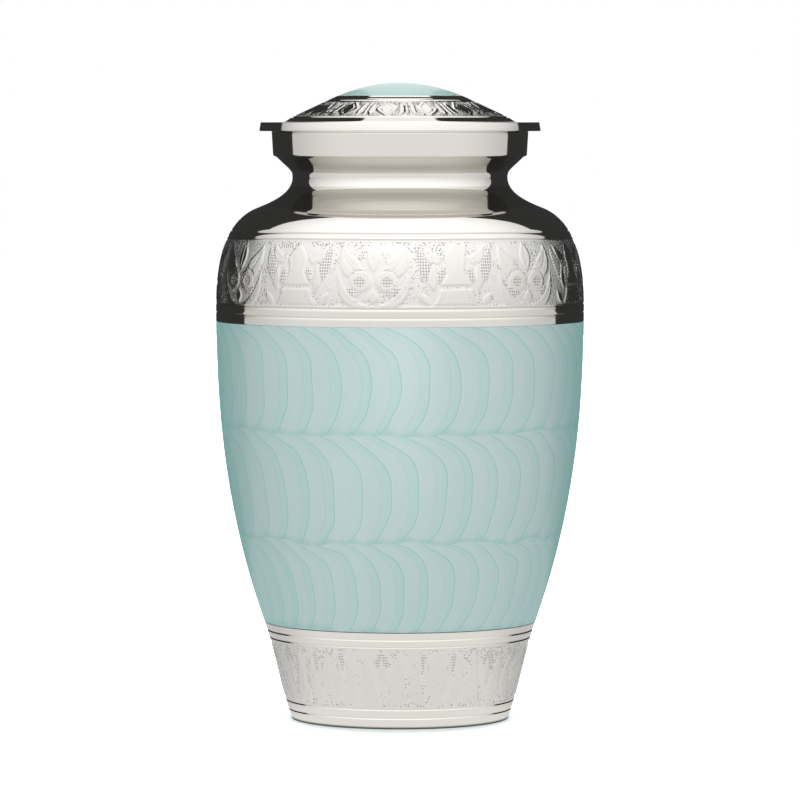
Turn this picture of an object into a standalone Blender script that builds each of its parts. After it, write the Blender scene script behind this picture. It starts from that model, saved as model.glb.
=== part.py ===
"""Funeral urn with an engraved shoulder and foot, a pearl enamel band and a lid that lifts off.

Lengths are metres and +Z is up. The origin is the middle of the underside. The front faces -Y.
"""

import math

import bmesh
import bpy
from mathutils import Vector
from mathutils.geometry import delaunay_2d_cdt

# Repeats of the engraving and facets round the urn
REPEATS = 7
FACETS_PER_REPEAT = 6
ENGRAVING_TURN = math.radians(17.5)

# Foot, from the underside up to the enamel
BASE_RADIUS = 0.0454
BASE_EDGE = 0.0008
BASE_DISH_RADIUS = 0.0370
BASE_DISH_DEPTH = 0.0014
FOOT_HEIGHT = 0.0408
FOOT_TOP_RADIUS = 0.0570
FOOT_LEAN_LOW = 0.38
FOOT_LEAN_HIGH = 0.35
FOOT_LOW_LINES = (0.0044, 0.0082)
FOOT_HIGH_LINES = (0.0062, 0.0031)

# Enamel band and the plain strip above it, whose lines are counted up from the enamel
ENAMEL_HEIGHT = 0.1267
ENAMEL_THICKNESS = 0.0007
BELLY_LINES = (0.0036, 0.0073)
BELLY_RISE = 0.0055
BELLY_RADIUS = 0.0772
BELLY_LOW_PULL = 0.32
BELLY_HIGH_PULL = 0.38

# Engraved shoulder, which starts at the plain strip's upper line, with the two lines above it
SHOULDER_BAND_HEIGHT = 0.0268
SHOULDER_LINES = (0.0006, 0.0031)

# Shelf over the shoulder, waist of the neck and collar
SHELF_RISE = 0.0124
SHELF_RADIUS = 0.0600
SHELF_SLOPE = math.radians(22.0)
SHOULDER_PULL_LOW = 0.0110
SHOULDER_PULL_HIGH = 0.0180
NECK_PULL_LOW = 0.0060
NECK_PULL_HIGH = 0.0069
WAIST_RISE = 0.0128
WAIST_RADIUS = 0.0451
THROAT_SLOPE = math.radians(44.0)
THROAT_PULL_LOW = 0.0030
THROAT_PULL_HIGH = 0.0090
COLLAR_RISE = 0.0088
COLLAR_FOOT_RADIUS = 0.0520
COLLAR_ROUND = 0.0012
COLLAR_HEIGHT = 0.0103
COLLAR_FLARE = 0.0006

# Walls, joints and turned lines
WALL = 0.0024
SEAM_GAP = 0.0003
LINE_WIDTH = 0.0012
LINE_DEPTH = 0.0005

# Lid, counted up from the underside of its flange
FLANGE_RADIUS = 0.0590
FLANGE_TAPER = 0.0006
FLANGE_THICKNESS = 0.0037
DOME_RADIUS = 0.0502
DOME_FLARE_WIDTH = 0.0052
DOME_FLARE_RISE = 0.0023
DOME_RISE = 0.0110
LID_LINE = 0.0044
LID_WALL = 0.0022
SKIRT_DEPTH = 0.0070
SKIRT_WALL = 0.0024
SKIRT_CLEARANCE = 0.0005

# Enamel cap on the lid
CAP_RADIUS = 0.0261
CAP_RISE = 0.0055

# Engraved leaves: they stay flush with the surface, and the ground round them is cut away
GROUND_DEPTH = 0.0006

# The flat drawing of one repeat, in drawing units, which each band stretches to its own size
DRAWING_WIDTH = 68.0
DRAWING_HEIGHT = 27.0
DRAWN_CHAMFER = 0.4

# How finely the curved faces are divided
LEAF_SIDE_POINTS = 2
BAND_ROW_COUNT = 2
LID_ROW_COUNT = 1
ENAMEL_RING_COUNT = 5
SHELF_RING_COUNT = 4
THROAT_RING_COUNT = 3
INNER_WALL_RING_COUNT = 4
INNER_SHELF_RING_COUNT = 3
CAP_RING_SHARE = 0.55
FLARE_RING_SHARES = (0.5, 0.35)
DOME_INSIDE_SHARES = (0.15, 0.85)

# Materials: colour, metallic and roughness
NICKEL = ((0.80, 0.79, 0.77), 1.0, 0.12)
PEARL_ENAMEL = ((0.45, 0.66, 0.63), 0.0, 0.18)

# Heights and sizes that follow from the ones above
FACETS = REPEATS * FACETS_PER_REPEAT
REPEAT_ANGLE = 2.0 * math.pi / REPEATS
ENAMEL_TOP = FOOT_HEIGHT + ENAMEL_HEIGHT
SHOULDER_BOTTOM = ENAMEL_TOP + BELLY_LINES[1] + LINE_WIDTH / 2.0
SHOULDER_TOP = SHOULDER_BOTTOM + SHOULDER_BAND_HEIGHT
SHELF_HEIGHT = SHOULDER_TOP + SHELF_RISE
WAIST_HEIGHT = SHELF_HEIGHT + WAIST_RISE
COLLAR_BOTTOM = WAIST_HEIGHT + COLLAR_RISE
RIM_HEIGHT = COLLAR_BOTTOM + COLLAR_HEIGHT
COLLAR_RADIUS = COLLAR_FOOT_RADIUS + COLLAR_ROUND
MOUTH_RADIUS = COLLAR_RADIUS - WALL
SKIRT_RADIUS = MOUTH_RADIUS - SKIRT_CLEARANCE
LID_HEIGHT = RIM_HEIGHT + SEAM_GAP


def cubic_point(controls, share):
    """Point of a cubic curve, as (radius, height), at a share from 0 to 1 of its way."""
    rest = 1.0 - share
    weights = (rest ** 3, 3.0 * rest * rest * share, 3.0 * rest * share * share, share ** 3)
    radius = sum(weight * point[0] for weight, point in zip(weights, controls))
    height = sum(weight * point[1] for weight, point in zip(weights, controls))
    return radius, height


def vessel_curves():
    """The cubic curves of the vessel's side, from the underside up to the collar."""
    foot_third = FOOT_HEIGHT / 3.0
    foot = (
        (BASE_RADIUS, 0.0),
        (BASE_RADIUS + FOOT_LEAN_LOW * foot_third, foot_third),
        (FOOT_TOP_RADIUS - FOOT_LEAN_HIGH * foot_third, FOOT_HEIGHT - foot_third),
        (FOOT_TOP_RADIUS, FOOT_HEIGHT),
    )
    belly_height = ENAMEL_TOP + BELLY_RISE
    rise = belly_height - FOOT_HEIGHT
    belly = (
        foot[3],
        (FOOT_TOP_RADIUS + FOOT_LEAN_HIGH * BELLY_LOW_PULL * rise, FOOT_HEIGHT + BELLY_LOW_PULL * rise),
        (BELLY_RADIUS, belly_height - BELLY_HIGH_PULL * rise),
        (BELLY_RADIUS, belly_height),
    )
    inward, upward = math.cos(SHELF_SLOPE), math.sin(SHELF_SLOPE)
    shoulder = (
        belly[3],
        (BELLY_RADIUS, belly_height + SHOULDER_PULL_LOW),
        (SHELF_RADIUS + inward * SHOULDER_PULL_HIGH, SHELF_HEIGHT - upward * SHOULDER_PULL_HIGH),
        (SHELF_RADIUS, SHELF_HEIGHT),
    )
    neck = (
        shoulder[3],
        (SHELF_RADIUS - inward * NECK_PULL_LOW, SHELF_HEIGHT + upward * NECK_PULL_LOW),
        (WAIST_RADIUS, WAIST_HEIGHT - NECK_PULL_HIGH),
        (WAIST_RADIUS, WAIST_HEIGHT),
    )
    outward, upward = math.cos(THROAT_SLOPE), math.sin(THROAT_SLOPE)
    throat = (
        neck[3],
        (WAIST_RADIUS, WAIST_HEIGHT + THROAT_PULL_LOW),
        (COLLAR_FOOT_RADIUS - outward * THROAT_PULL_HIGH, COLLAR_BOTTOM - upward * THROAT_PULL_HIGH),
        (COLLAR_FOOT_RADIUS, COLLAR_BOTTOM),
    )
    return foot, belly, shoulder, neck, throat


class Outline:
    """The vessel's side as a fine line that is read by height or by the length along it."""

    STEPS = 60
    PROBE = 0.0003

    def __init__(self, curves):
        self.points = [curves[0][0]]
        for controls in curves:
            self.points += [cubic_point(controls, step / self.STEPS) for step in range(1, self.STEPS + 1)]
        self.lengths = [0.0]
        for low, high in zip(self.points, self.points[1:]):
            self.lengths.append(self.lengths[-1] + math.dist(low, high))

    def length_at(self, height):
        """Length along the side up to a height."""
        for index, (low, high) in enumerate(zip(self.points, self.points[1:])):
            if height <= high[1]:
                break
        share = (height - low[1]) / (high[1] - low[1])
        return self.lengths[index] + share * (self.lengths[index + 1] - self.lengths[index])

    def at_length(self, length):
        """Point of the side at a length along it."""
        for index in range(len(self.points) - 1):
            if length <= self.lengths[index + 1]:
                break
        low, high = self.points[index], self.points[index + 1]
        share = (length - self.lengths[index]) / (self.lengths[index + 1] - self.lengths[index])
        return low[0] + share * (high[0] - low[0]), low[1] + share * (high[1] - low[1])

    def offset(self, length, lift):
        """Point at a length along the side, moved out from the surface by a lift."""
        radius, height = self.at_length(length)
        low = self.at_length(max(length - self.PROBE, 0.0))
        high = self.at_length(min(length + self.PROBE, self.lengths[-1]))
        run = math.dist(low, high)
        return radius + lift * (high[1] - low[1]) / run, height - lift * (high[0] - low[0]) / run

    def lifted(self, height, lift):
        """Point at a height of the side, moved out from the surface by a lift."""
        return self.offset(self.length_at(height), lift)

    def stretch(self, low, high, count, lift=0.0):
        """Evenly spaced points of the side between two heights, both ends included."""
        start, end = self.length_at(low), self.length_at(high)
        return [self.offset(start + (end - start) * step / (count - 1), lift) for step in range(count)]

    def line_pair(self, low, high):
        """The points of two turned lines with a low bead between them, from below."""
        half = LINE_WIDTH / 2.0
        return [
            self.lifted(low - half, 0.0),
            self.lifted(low, -LINE_DEPTH),
            self.lifted((low + high) / 2.0, 0.0),
            self.lifted(high, -LINE_DEPTH),
            self.lifted(high + half, 0.0),
        ]


def leaf(base, bend, tip, half_width, base_share=0.0):
    """The foot and the top edge of a leaf on the flat drawing, in drawing units across and up.

    The leaf's middle runs from base to tip in a curve that the bend point pulls. base_share is how
    much of the width is left at the base: 0 for a leaf that is pointed at both ends.
    """
    base, bend, tip = Vector(base), Vector(bend), Vector(tip)

    def side_at(share, reach):
        middle = base.lerp(bend, share).lerp(bend.lerp(tip, share), share)
        along = (bend.lerp(tip, share) - base.lerp(bend, share)).normalized()
        swell = math.sin(math.pi * (base_share / 2.0 + share * (1.0 - base_share / 2.0)))
        return middle + Vector((along.y, -along.x)) * reach * swell

    def edge(half, inset):
        shares = [step / (LEAF_SIDE_POINTS + 1) for step in range(1, LEAF_SIDE_POINTS + 1)]
        if base_share:
            shares = [inset] + shares
        points = [side_at(share, half) for share in shares] + [side_at(1.0 - inset, 0.0)]
        points += [side_at(share, -half) for share in reversed(shares)]
        if not base_share:
            points = [side_at(inset, 0.0)] + points
        return points

    inset = 1.5 * DRAWN_CHAMFER / (tip - base).length
    return edge(half_width, 0.0), edge(half_width - DRAWN_CHAMFER, inset)


def both_hands(base, bend, tip, half_width):
    """A leaf and its mirror image on the other side of the motif."""
    for hand in (1.0, -1.0):
        yield leaf((hand * base[0], base[1]), (hand * bend[0], bend[1]), (hand * tip[0], tip[1]), half_width)


def petal_motif():
    """A tall pointed petal over a bell, with a curled leaf on each side."""
    leaves = [
        leaf((0.0, 9.0), (0.0, 16.5), (0.0, 26.2), 5.4, 0.6),
        leaf((0.0, 7.8), (0.0, 4.5), (0.0, 0.8), 6.0, 0.9),
    ]
    leaves += both_hands((6.6, 6.0), (14.6, 11.0), (9.4, 24.0), 2.8)
    return leaves


def cross_motif():
    """Four broad blades that meet at a crossing, under a small crown petal."""
    leaves = [leaf((0.0, 16.2), (0.0, 21.0), (0.0, 26.2), 2.4)]
    leaves += both_hands((1.0, 14.7), (9.6, 13.2), (11.4, 25.6), 3.6)
    leaves += both_hands((1.0, 12.6), (12.4, 14.2), (10.6, 2.2), 3.2)
    return leaves


def sprig_motif():
    """A broad petal between two leaves that curl up beside it, for the foot."""
    leaves = [leaf((0.0, 3.0), (0.0, 15.0), (0.0, 26.2), 5.8)]
    leaves += both_hands((6.4, 2.0), (16.0, 6.0), (11.2, 23.0), 3.4)
    return leaves


def fork_motif():
    """Two broad blades that part from one root, for the foot."""
    return list(both_hands((1.2, 2.0), (10.4, 6.0), (8.8, 25.6), 4.0))


def lozenge_motif():
    """One plain lozenge, for the lid."""
    return [leaf((0.0, 3.0), (0.0, 14.0), (0.0, 25.0), 12.8)]


def inside(point, outline):
    """Whether a point of the flat engraving lies inside a closed outline."""
    crossings = 0
    for low, high in zip(outline, outline[1:] + outline[:1]):
        if (low.y > point.y) != (high.y > point.y):
            share = (point.y - low.y) / (high.y - low.y)
            crossings += point.x < low.x + share * (high.x - low.x)
    return crossings % 2 == 1


def ground_points(row_count, outlines):
    """Grid points of the ground between the leaves, which keep it round."""
    points = []
    for row in range(row_count + 1):
        for column in range(FACETS_PER_REPEAT + 1):
            across, up = column / FACETS_PER_REPEAT, row / row_count
            point = Vector((DRAWING_WIDTH * across, DRAWING_HEIGHT * up))
            if not any(inside(point, outline) for outline in outlines):
                points.append(point)
    return points


def engraved_patch(bm, motifs, row_count, surface_at):
    """Faces of an engraved band: flush leaves on a sunk ground, wrapped round the urn.

    motifs are the leaves of each half repeat, row_count is how many rows the ground has, and
    surface_at gives the point for an angle, a share of the height and a lift.
    """
    edge_share = 1.0e-4
    placed = []
    for index, leaves in enumerate(motifs):
        middle = Vector((DRAWING_WIDTH * (index + 0.5) / len(motifs), 0.0))
        placed += [([middle + point for point in foot], [middle + point for point in top])
                   for foot, top in leaves]
    points = ground_points(row_count, [foot for foot, top in placed])
    edges, flush = [], set()
    for foot, top in placed:
        for outline in (foot, top):
            first, size = len(points), len(outline)
            edges += [(first + step, first + (step + 1) % size) for step in range(size)]
            points += outline
        flush.update(range(first, first + size))
    flat, _, faces, sources, _, _ = delaunay_2d_cdt(points, edges, [], 0, edge_share)
    for repeat in range(REPEATS):
        corners = []
        for place, source in zip(flat, sources):
            angle = ENGRAVING_TURN + REPEAT_ANGLE * (repeat + place.x / DRAWING_WIDTH)
            share = place.y / DRAWING_HEIGHT
            on_edge = share < edge_share or share > 1.0 - edge_share
            lift = 0.0 if on_edge or flush.intersection(source) else -GROUND_DEPTH
            corners.append(bm.verts.new(surface_at(angle, share, lift)))
        for face in faces:
            bm.faces.new([corners[index] for index in face])


def turn(bm, profile):
    """Turn a run of (radius, height) points round the urn's axis."""
    start = Vector((math.cos(ENGRAVING_TURN), math.sin(ENGRAVING_TURN), 0.0))
    corners = [bm.verts.new(start * radius + Vector((0.0, 0.0, height))) for radius, height in profile]
    edges = [bm.edges.new(pair) for pair in zip(corners, corners[1:])]
    bmesh.ops.spin(bm, geom=corners + edges, cent=(0.0, 0.0, 0.0), axis=(0.0, 0.0, 1.0),
                   angle=2.0 * math.pi, steps=FACETS, use_merge=False)


def make_material(name, look):
    """A Principled material with the colour, metallic value and roughness given."""
    colour, metallic, roughness = look
    material = bpy.data.materials.new(name)
    material.use_nodes = True
    shader = material.node_tree.nodes["Principled BSDF"]
    shader.inputs["Base Color"].default_value = (*colour, 1.0)
    shader.inputs["Metallic"].default_value = metallic
    shader.inputs["Roughness"].default_value = roughness
    return material


def finish(bm, name, material, parent, height=0.0):
    """Weld a piece's faces, turn them outwards and put the piece in its place."""
    weld = 2.0e-5
    bmesh.ops.remove_doubles(bm, verts=bm.verts, dist=weld)
    bmesh.ops.dissolve_degenerate(bm, edges=bm.edges, dist=weld / 10.0)
    loose = [corner for corner in bm.verts if not corner.link_faces]
    bmesh.ops.delete(bm, geom=loose, context="VERTS")
    bmesh.ops.recalc_face_normals(bm, faces=bm.faces)
    mesh = bpy.data.meshes.new(name)
    bm.to_mesh(mesh)
    bm.free()
    mesh.materials.append(material)
    mesh.shade_smooth()
    mesh.set_sharp_from_angle(angle=math.radians(25.0))
    piece = bpy.data.objects.new(name, mesh)
    piece.parent = parent
    piece.location = (0.0, 0.0, height)
    bpy.context.collection.objects.link(piece)
    return piece


def round_point(angle, radius, height):
    """Point in space for a turned point and the angle it is at."""
    return radius * math.cos(angle), radius * math.sin(angle), height


def vessel_surface(outline, low, high):
    """Surface function of a band on the vessel between two heights."""
    start, end = outline.length_at(low), outline.length_at(high)

    def surface_at(angle, share, lift):
        return round_point(angle, *outline.offset(start + (end - start) * share, lift))

    return surface_at


def make_body(outline, material, parent):
    """The vessel: one plated shell, open at the mouth and hollow to its true wall."""
    bm = bmesh.new()
    line_half = LINE_WIDTH / 2.0
    foot_bottom = FOOT_LOW_LINES[1] + line_half
    foot_top = FOOT_HEIGHT - FOOT_HIGH_LINES[0] - line_half
    shoulder_top = SHOULDER_TOP + SHOULDER_LINES[0] - line_half

    base = [
        (0.0, BASE_DISH_DEPTH),
        (BASE_DISH_RADIUS, 0.0),
        (BASE_RADIUS - BASE_EDGE, 0.0),
        outline.lifted(BASE_EDGE, 0.0),
    ]
    turn(bm, base + outline.line_pair(*FOOT_LOW_LINES))

    recess = ENAMEL_THICKNESS + SEAM_GAP
    middle = outline.line_pair(FOOT_HEIGHT - FOOT_HIGH_LINES[0], FOOT_HEIGHT - FOOT_HIGH_LINES[1])
    middle.append(outline.lifted(FOOT_HEIGHT, 0.0))
    middle += outline.stretch(FOOT_HEIGHT, ENAMEL_TOP, ENAMEL_RING_COUNT, -recess)
    middle.append(outline.lifted(ENAMEL_TOP, 0.0))
    middle += outline.line_pair(ENAMEL_TOP + BELLY_LINES[0], ENAMEL_TOP + BELLY_LINES[1])
    turn(bm, middle)

    upper = outline.line_pair(SHOULDER_TOP + SHOULDER_LINES[0], SHOULDER_TOP + SHOULDER_LINES[1])
    over_lines = SHOULDER_TOP + SHOULDER_LINES[1] + line_half
    upper += outline.stretch(over_lines, SHELF_HEIGHT, SHELF_RING_COUNT)[1:]
    upper += outline.stretch(SHELF_HEIGHT, WAIST_HEIGHT, SHELF_RING_COUNT)[1:]
    upper += outline.stretch(WAIST_HEIGHT, COLLAR_BOTTOM, THROAT_RING_COUNT)[1:]
    upper += [
        (COLLAR_RADIUS, COLLAR_BOTTOM + COLLAR_ROUND),
        (COLLAR_RADIUS + COLLAR_FLARE, RIM_HEIGHT),
        (MOUTH_RADIUS, RIM_HEIGHT),
    ]
    upper += inner_side(outline)
    turn(bm, upper)

    engraved_patch(bm, (petal_motif(), cross_motif()), BAND_ROW_COUNT,
                   vessel_surface(outline, SHOULDER_BOTTOM, shoulder_top))
    engraved_patch(bm, (sprig_motif(), fork_motif()), BAND_ROW_COUNT,
                   vessel_surface(outline, foot_bottom, foot_top))
    return finish(bm, "urn_body", material, parent)


def inner_side(outline):
    """The vessel's inside from the mouth down to the middle of its floor."""
    floor = BASE_DISH_DEPTH + WALL
    wall = outline.stretch(floor + WALL, SHOULDER_TOP, INNER_WALL_RING_COUNT, -WALL)
    shelf = outline.stretch(SHOULDER_TOP, WAIST_HEIGHT, INNER_SHELF_RING_COUNT, -WALL)
    throat = outline.stretch(WAIST_HEIGHT, COLLAR_BOTTOM, THROAT_RING_COUNT, -WALL)
    rising = wall[:-1] + shelf[:-1] + throat[:-1] + [(MOUTH_RADIUS, COLLAR_BOTTOM + COLLAR_ROUND)]
    corner = (wall[0][0] - WALL, floor)
    return list(reversed(rising)) + [corner, (0.0, floor)]


def make_enamel_band(outline, material, parent):
    """The enamel in the recess round the belly, flush with the metal above and below it."""
    bm = bmesh.new()
    low, high = FOOT_HEIGHT + SEAM_GAP, ENAMEL_TOP - SEAM_GAP
    outside = outline.stretch(low, high, ENAMEL_RING_COUNT)
    inside = outline.stretch(low, high, ENAMEL_RING_COUNT, -ENAMEL_THICKNESS)
    turn(bm, outside + list(reversed(inside)) + outside[:1])
    return finish(bm, "enamel_band", material, parent)


def cap_height(radius, depth):
    """Height above the flange's underside of the cap's round top, or of a surface that deep under it."""
    ball = (CAP_RADIUS ** 2 + CAP_RISE ** 2) / (2.0 * CAP_RISE)
    centre = FLANGE_THICKNESS + DOME_RISE + CAP_RISE - ball
    return centre + math.sqrt((ball - depth) ** 2 - radius ** 2)


def dome_point(share, lift):
    """Point of the lid's slope, from its foot at 0 to the edge of the cap at 1, moved out by a lift."""
    foot = (DOME_RADIUS - DOME_FLARE_WIDTH, FLANGE_THICKNESS + DOME_FLARE_RISE)
    edge = (CAP_RADIUS + SEAM_GAP, FLANGE_THICKNESS + DOME_RISE)
    run, rise = foot[0] - edge[0], edge[1] - foot[1]
    slope = math.hypot(run, rise)
    return foot[0] - run * share + lift * rise / slope, foot[1] + rise * share + lift * run / slope


def dome_share(distance):
    """Share of the slope that lies a distance outside the edge of the cap."""
    return 1.0 - distance / (DOME_RADIUS - DOME_FLARE_WIDTH - CAP_RADIUS - SEAM_GAP)


def make_lid(material, parent):
    """The lid: a hollow dome on a flange, with a recess for its cap and a skirt below."""
    bm = bmesh.new()
    half = LINE_WIDTH / 2.0
    skirt_inside = SKIRT_RADIUS - SKIRT_WALL
    band_top = dome_share(LID_LINE + half)
    inward, upward = FLARE_RING_SHARES
    flare_middle = (DOME_RADIUS - DOME_FLARE_WIDTH * inward, FLANGE_THICKNESS + DOME_FLARE_RISE * upward)
    under, over = (dome_point(share, -LID_WALL) for share in DOME_INSIDE_SHARES)
    recess = ENAMEL_THICKNESS + SEAM_GAP
    cap_ring = CAP_RADIUS * CAP_RING_SHARE

    lower = [
        (0.0, cap_height(0.0, recess + LID_WALL)),
        (cap_ring, cap_height(cap_ring, recess + LID_WALL)),
        over,
        under,
        (skirt_inside, FLANGE_THICKNESS / 2.0),
        (skirt_inside, -SKIRT_DEPTH),
        (SKIRT_RADIUS, -SKIRT_DEPTH),
        (SKIRT_RADIUS, 0.0),
        (FLANGE_RADIUS, 0.0),
        (FLANGE_RADIUS - FLANGE_TAPER, FLANGE_THICKNESS),
        (DOME_RADIUS, FLANGE_THICKNESS),
        flare_middle,
        dome_point(0.0, 0.0),
    ]
    turn(bm, lower)

    upper = [
        dome_point(band_top, 0.0),
        dome_point(dome_share(LID_LINE), -LINE_DEPTH),
        dome_point(dome_share(LID_LINE - half), 0.0),
        dome_point(1.0, 0.0),
    ]
    upper += [(radius, cap_height(radius, recess)) for radius in (CAP_RADIUS + SEAM_GAP, cap_ring, 0.0)]
    turn(bm, upper)

    def surface_at(angle, share, lift):
        return round_point(angle, *dome_point(share * band_top, lift))

    engraved_patch(bm, (lozenge_motif(), lozenge_motif()), LID_ROW_COUNT, surface_at)
    return finish(bm, "lid", material, parent, LID_HEIGHT)


def make_enamel_cap(material, parent):
    """The enamel in the round recess on top of the lid."""
    bm = bmesh.new()
    rings = (0.0, CAP_RADIUS * CAP_RING_SHARE, CAP_RADIUS)
    outside = [(radius, cap_height(radius, 0.0)) for radius in rings]
    inside = [(radius, cap_height(radius, ENAMEL_THICKNESS)) for radius in rings]
    turn(bm, outside + list(reversed(inside)))
    return finish(bm, "enamel_cap", material, parent)


def clear_scene():
    """Remove whatever objects the scene holds."""
    for piece in list(bpy.data.objects):
        bpy.data.objects.remove(piece, do_unlink=True)


def main():
    """Build the urn."""
    clear_scene()
    urn = bpy.data.objects.new("urn", None)
    bpy.context.collection.objects.link(urn)
    outline = Outline(vessel_curves())
    nickel = make_material("nickel_plate", NICKEL)
    enamel = make_material("pearl_enamel", PEARL_ENAMEL)
    make_body(outline, nickel, urn)
    make_enamel_band(outline, enamel, urn)
    lid = make_lid(nickel, urn)
    make_enamel_cap(enamel, lid)


main()
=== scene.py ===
"""Dress a funeral urn: polished nickel, engraved leaf bands and pearl enamel.

Lengths are metres and +Z is up. The origin is the middle of the underside. The front faces -Y.
"""

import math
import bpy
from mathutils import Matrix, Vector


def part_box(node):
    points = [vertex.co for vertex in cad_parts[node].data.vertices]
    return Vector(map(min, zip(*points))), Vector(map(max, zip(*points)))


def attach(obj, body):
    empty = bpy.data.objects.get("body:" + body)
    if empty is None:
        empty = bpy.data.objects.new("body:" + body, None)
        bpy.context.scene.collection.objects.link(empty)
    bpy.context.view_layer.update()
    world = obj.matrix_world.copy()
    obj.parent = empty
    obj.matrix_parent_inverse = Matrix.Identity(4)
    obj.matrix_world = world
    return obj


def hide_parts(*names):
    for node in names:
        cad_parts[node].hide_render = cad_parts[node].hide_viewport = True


bl_info = {
    "name": "Funeral Urn",
    "version": (1, 0, 0),
    "blender": (4, 5, 0),
    "location": "3D View > Sidebar > Urn",
    "description": "Builds the polished, engraved and enamelled skin of a funeral urn",
    "category": "Object",
}

import bmesh
import bpy
import numpy as np
from bpy.props import FloatProperty, FloatVectorProperty, IntProperty, PointerProperty
from bpy.types import Operator, Panel, PropertyGroup
from mathutils import Vector

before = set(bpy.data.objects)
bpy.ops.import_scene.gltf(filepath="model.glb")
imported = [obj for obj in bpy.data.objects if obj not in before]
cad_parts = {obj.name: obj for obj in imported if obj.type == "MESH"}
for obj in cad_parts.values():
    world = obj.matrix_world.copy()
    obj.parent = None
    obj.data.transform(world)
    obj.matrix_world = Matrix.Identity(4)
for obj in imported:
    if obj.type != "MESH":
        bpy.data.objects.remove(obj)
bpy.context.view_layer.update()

# Heights and radii that the frame gives
SEAM_GAP = 0.0003
BODY_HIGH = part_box("urn_body")[1]
BAND_LOW, BAND_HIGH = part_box("enamel_band")
LID_LOW, LID_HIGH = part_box("lid")
CAP_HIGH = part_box("enamel_cap")[1]
FOOT_HEIGHT = BAND_LOW.z - SEAM_GAP
ENAMEL_TOP = BAND_HIGH.z + SEAM_GAP
RIM_HEIGHT = BODY_HIGH.z
BELLY_RADIUS = BODY_HIGH.x
FLANGE_HEIGHT = RIM_HEIGHT + SEAM_GAP
FLANGE_RADIUS = LID_HIGH.x
SKIRT_DEPTH = FLANGE_HEIGHT - LID_LOW.z
CAP_RADIUS = CAP_HIGH.x

# Foot
BASE_RADIUS = 0.0454
BASE_EDGE = 0.0008
BASE_DISH_RADIUS = 0.0370
BASE_DISH_DEPTH = 0.0014
BASE_DISH_ROUND = 0.0006
FOOT_TOP_RADIUS = 0.0570
FOOT_LEAN_LOW = 0.38
FOOT_LEAN_HIGH = 0.35
FOOT_LOW_LINES = (0.0044, 0.0082)
FOOT_HIGH_LINES = (0.0062, 0.0031)

# Belly, with its lines counted up from the enamel
BELLY_LINES = (0.0036, 0.0073)
BELLY_RISE = 0.0055
BELLY_LOW_PULL = 0.32
BELLY_HIGH_PULL = 0.38

# Shoulder, shelf, neck and collar
BAND_MARGIN = 0.0006
SHOULDER_BAND_HEIGHT = 0.0268
SHOULDER_LINES = (0.0006, 0.0031)
SHELF_RISE = 0.0124
SHELF_RADIUS = 0.0600
SHELF_SLOPE = math.radians(22.0)
SHOULDER_PULL_LOW = 0.0110
SHOULDER_PULL_HIGH = 0.0180
NECK_PULL_LOW = 0.0060
NECK_PULL_HIGH = 0.0069
WAIST_RISE = 0.0128
WAIST_RADIUS = 0.0451
THROAT_SLOPE = math.radians(44.0)
THROAT_PULL_LOW = 0.0030
THROAT_PULL_HIGH = 0.0090
COLLAR_RISE = 0.0088
COLLAR_FOOT_RADIUS = 0.0520
COLLAR_FOOT_ROUND = 0.0009
COLLAR_ROUND = 0.0012
COLLAR_STEP = 0.0004
COLLAR_FLARE = 0.0006
RIM_ROUND = 0.0003

# Lid, counted up from the underside of its flange
FLANGE_TAPER = 0.0006
FLANGE_THICKNESS = 0.0037
FLANGE_ROUND = 0.0004
DOME_RADIUS = 0.0502
DOME_FLARE_WIDTH = 0.0052
DOME_FLARE_RISE = 0.0023
DOME_FLARE_START = 0.3
DOME_FLARE_ROUND = 0.0030
DOME_RISE = 0.0110
LID_LINE = 0.0044
LID_WALL = 0.0022
LID_SEAT = 0.00027
SKIRT_WALL = 0.0024
SKIRT_ROUND = 0.0005
SKIRT_CLEARANCE = 0.0005
CAP_RISE = 0.0055

# Walls and turned lines
WALL = 0.0024
LINE_DEPTH = 0.0004
ENAMEL_THICKNESS = 0.0007
RING_SEAT = 0.0012
STRETCH_JOIN = 0.0002

# Fineness of the meshes
FACETS = 224
FINE_SPACING = 0.0009
RIM_SPACING = 0.0010
DOME_LINE_SPACING = 0.0008
DOME_SPACING = 0.0020
ENAMEL_SPACING = 0.0020
HIDDEN_SPACING = 0.0040
ENAMEL_BACK_SPACING = 0.0060
SHOULDER_CELLS = (168, 64)
FOOT_CELLS = (112, 60)
LID_CELLS = (96, 36)
WELD_DISTANCE = 1.0e-5
SHARP_ANGLE = math.radians(50.0)

# Flat drawing of one repeat of the engraving, in drawing units
DRAWING_WIDTH = 68.0
DRAWING_HEIGHT = 27.0
LIGHT_CUT = 0.4
FULL_CUT = 0.6

# Heights that follow
SHOULDER_TOP = ENAMEL_TOP + BELLY_LINES[1] + BAND_MARGIN + SHOULDER_BAND_HEIGHT
SHELF_HEIGHT = SHOULDER_TOP + SHELF_RISE
WAIST_HEIGHT = SHELF_HEIGHT + WAIST_RISE
COLLAR_BOTTOM = WAIST_HEIGHT + COLLAR_RISE
COLLAR_RADIUS = COLLAR_FOOT_RADIUS + COLLAR_ROUND
MOUTH_RADIUS = COLLAR_RADIUS - WALL
SKIRT_RADIUS = MOUTH_RADIUS - SKIRT_CLEARANCE

# Finish of the plate, with painted shade in the neck's hollows and a dark ring of painted shadow round the
# cap
WARM_TINT = (1.0, 0.985, 0.955)
# Dark ring of painted shadow round the cap: its colour, and where it starts and ends outside the cap's edge
CAP_SHADOW_COLOUR = (0.004, 0.006, 0.006, 1.0)
CAP_SHADOW_START = 0.0015
CAP_SHADOW_END = 0.0027
# Painted shade in the neck's hollows: the bright bead left round the waist, the fade, the shaded colour and
# how much of it the throat is spared
NECK_BEAD = 0.0030
NECK_FADE = 0.0008
NECK_PAINTED_SHADE = (0.80, 0.785, 0.76)
THROAT_SPARED = 0.4
ENGRAVED_SHADE = 0.92
MARK_COLOUR = (0.20, 0.19, 0.18, 1.0)
CUT_PITCH = 2.9
CUT_LEAN = 0.9

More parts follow.
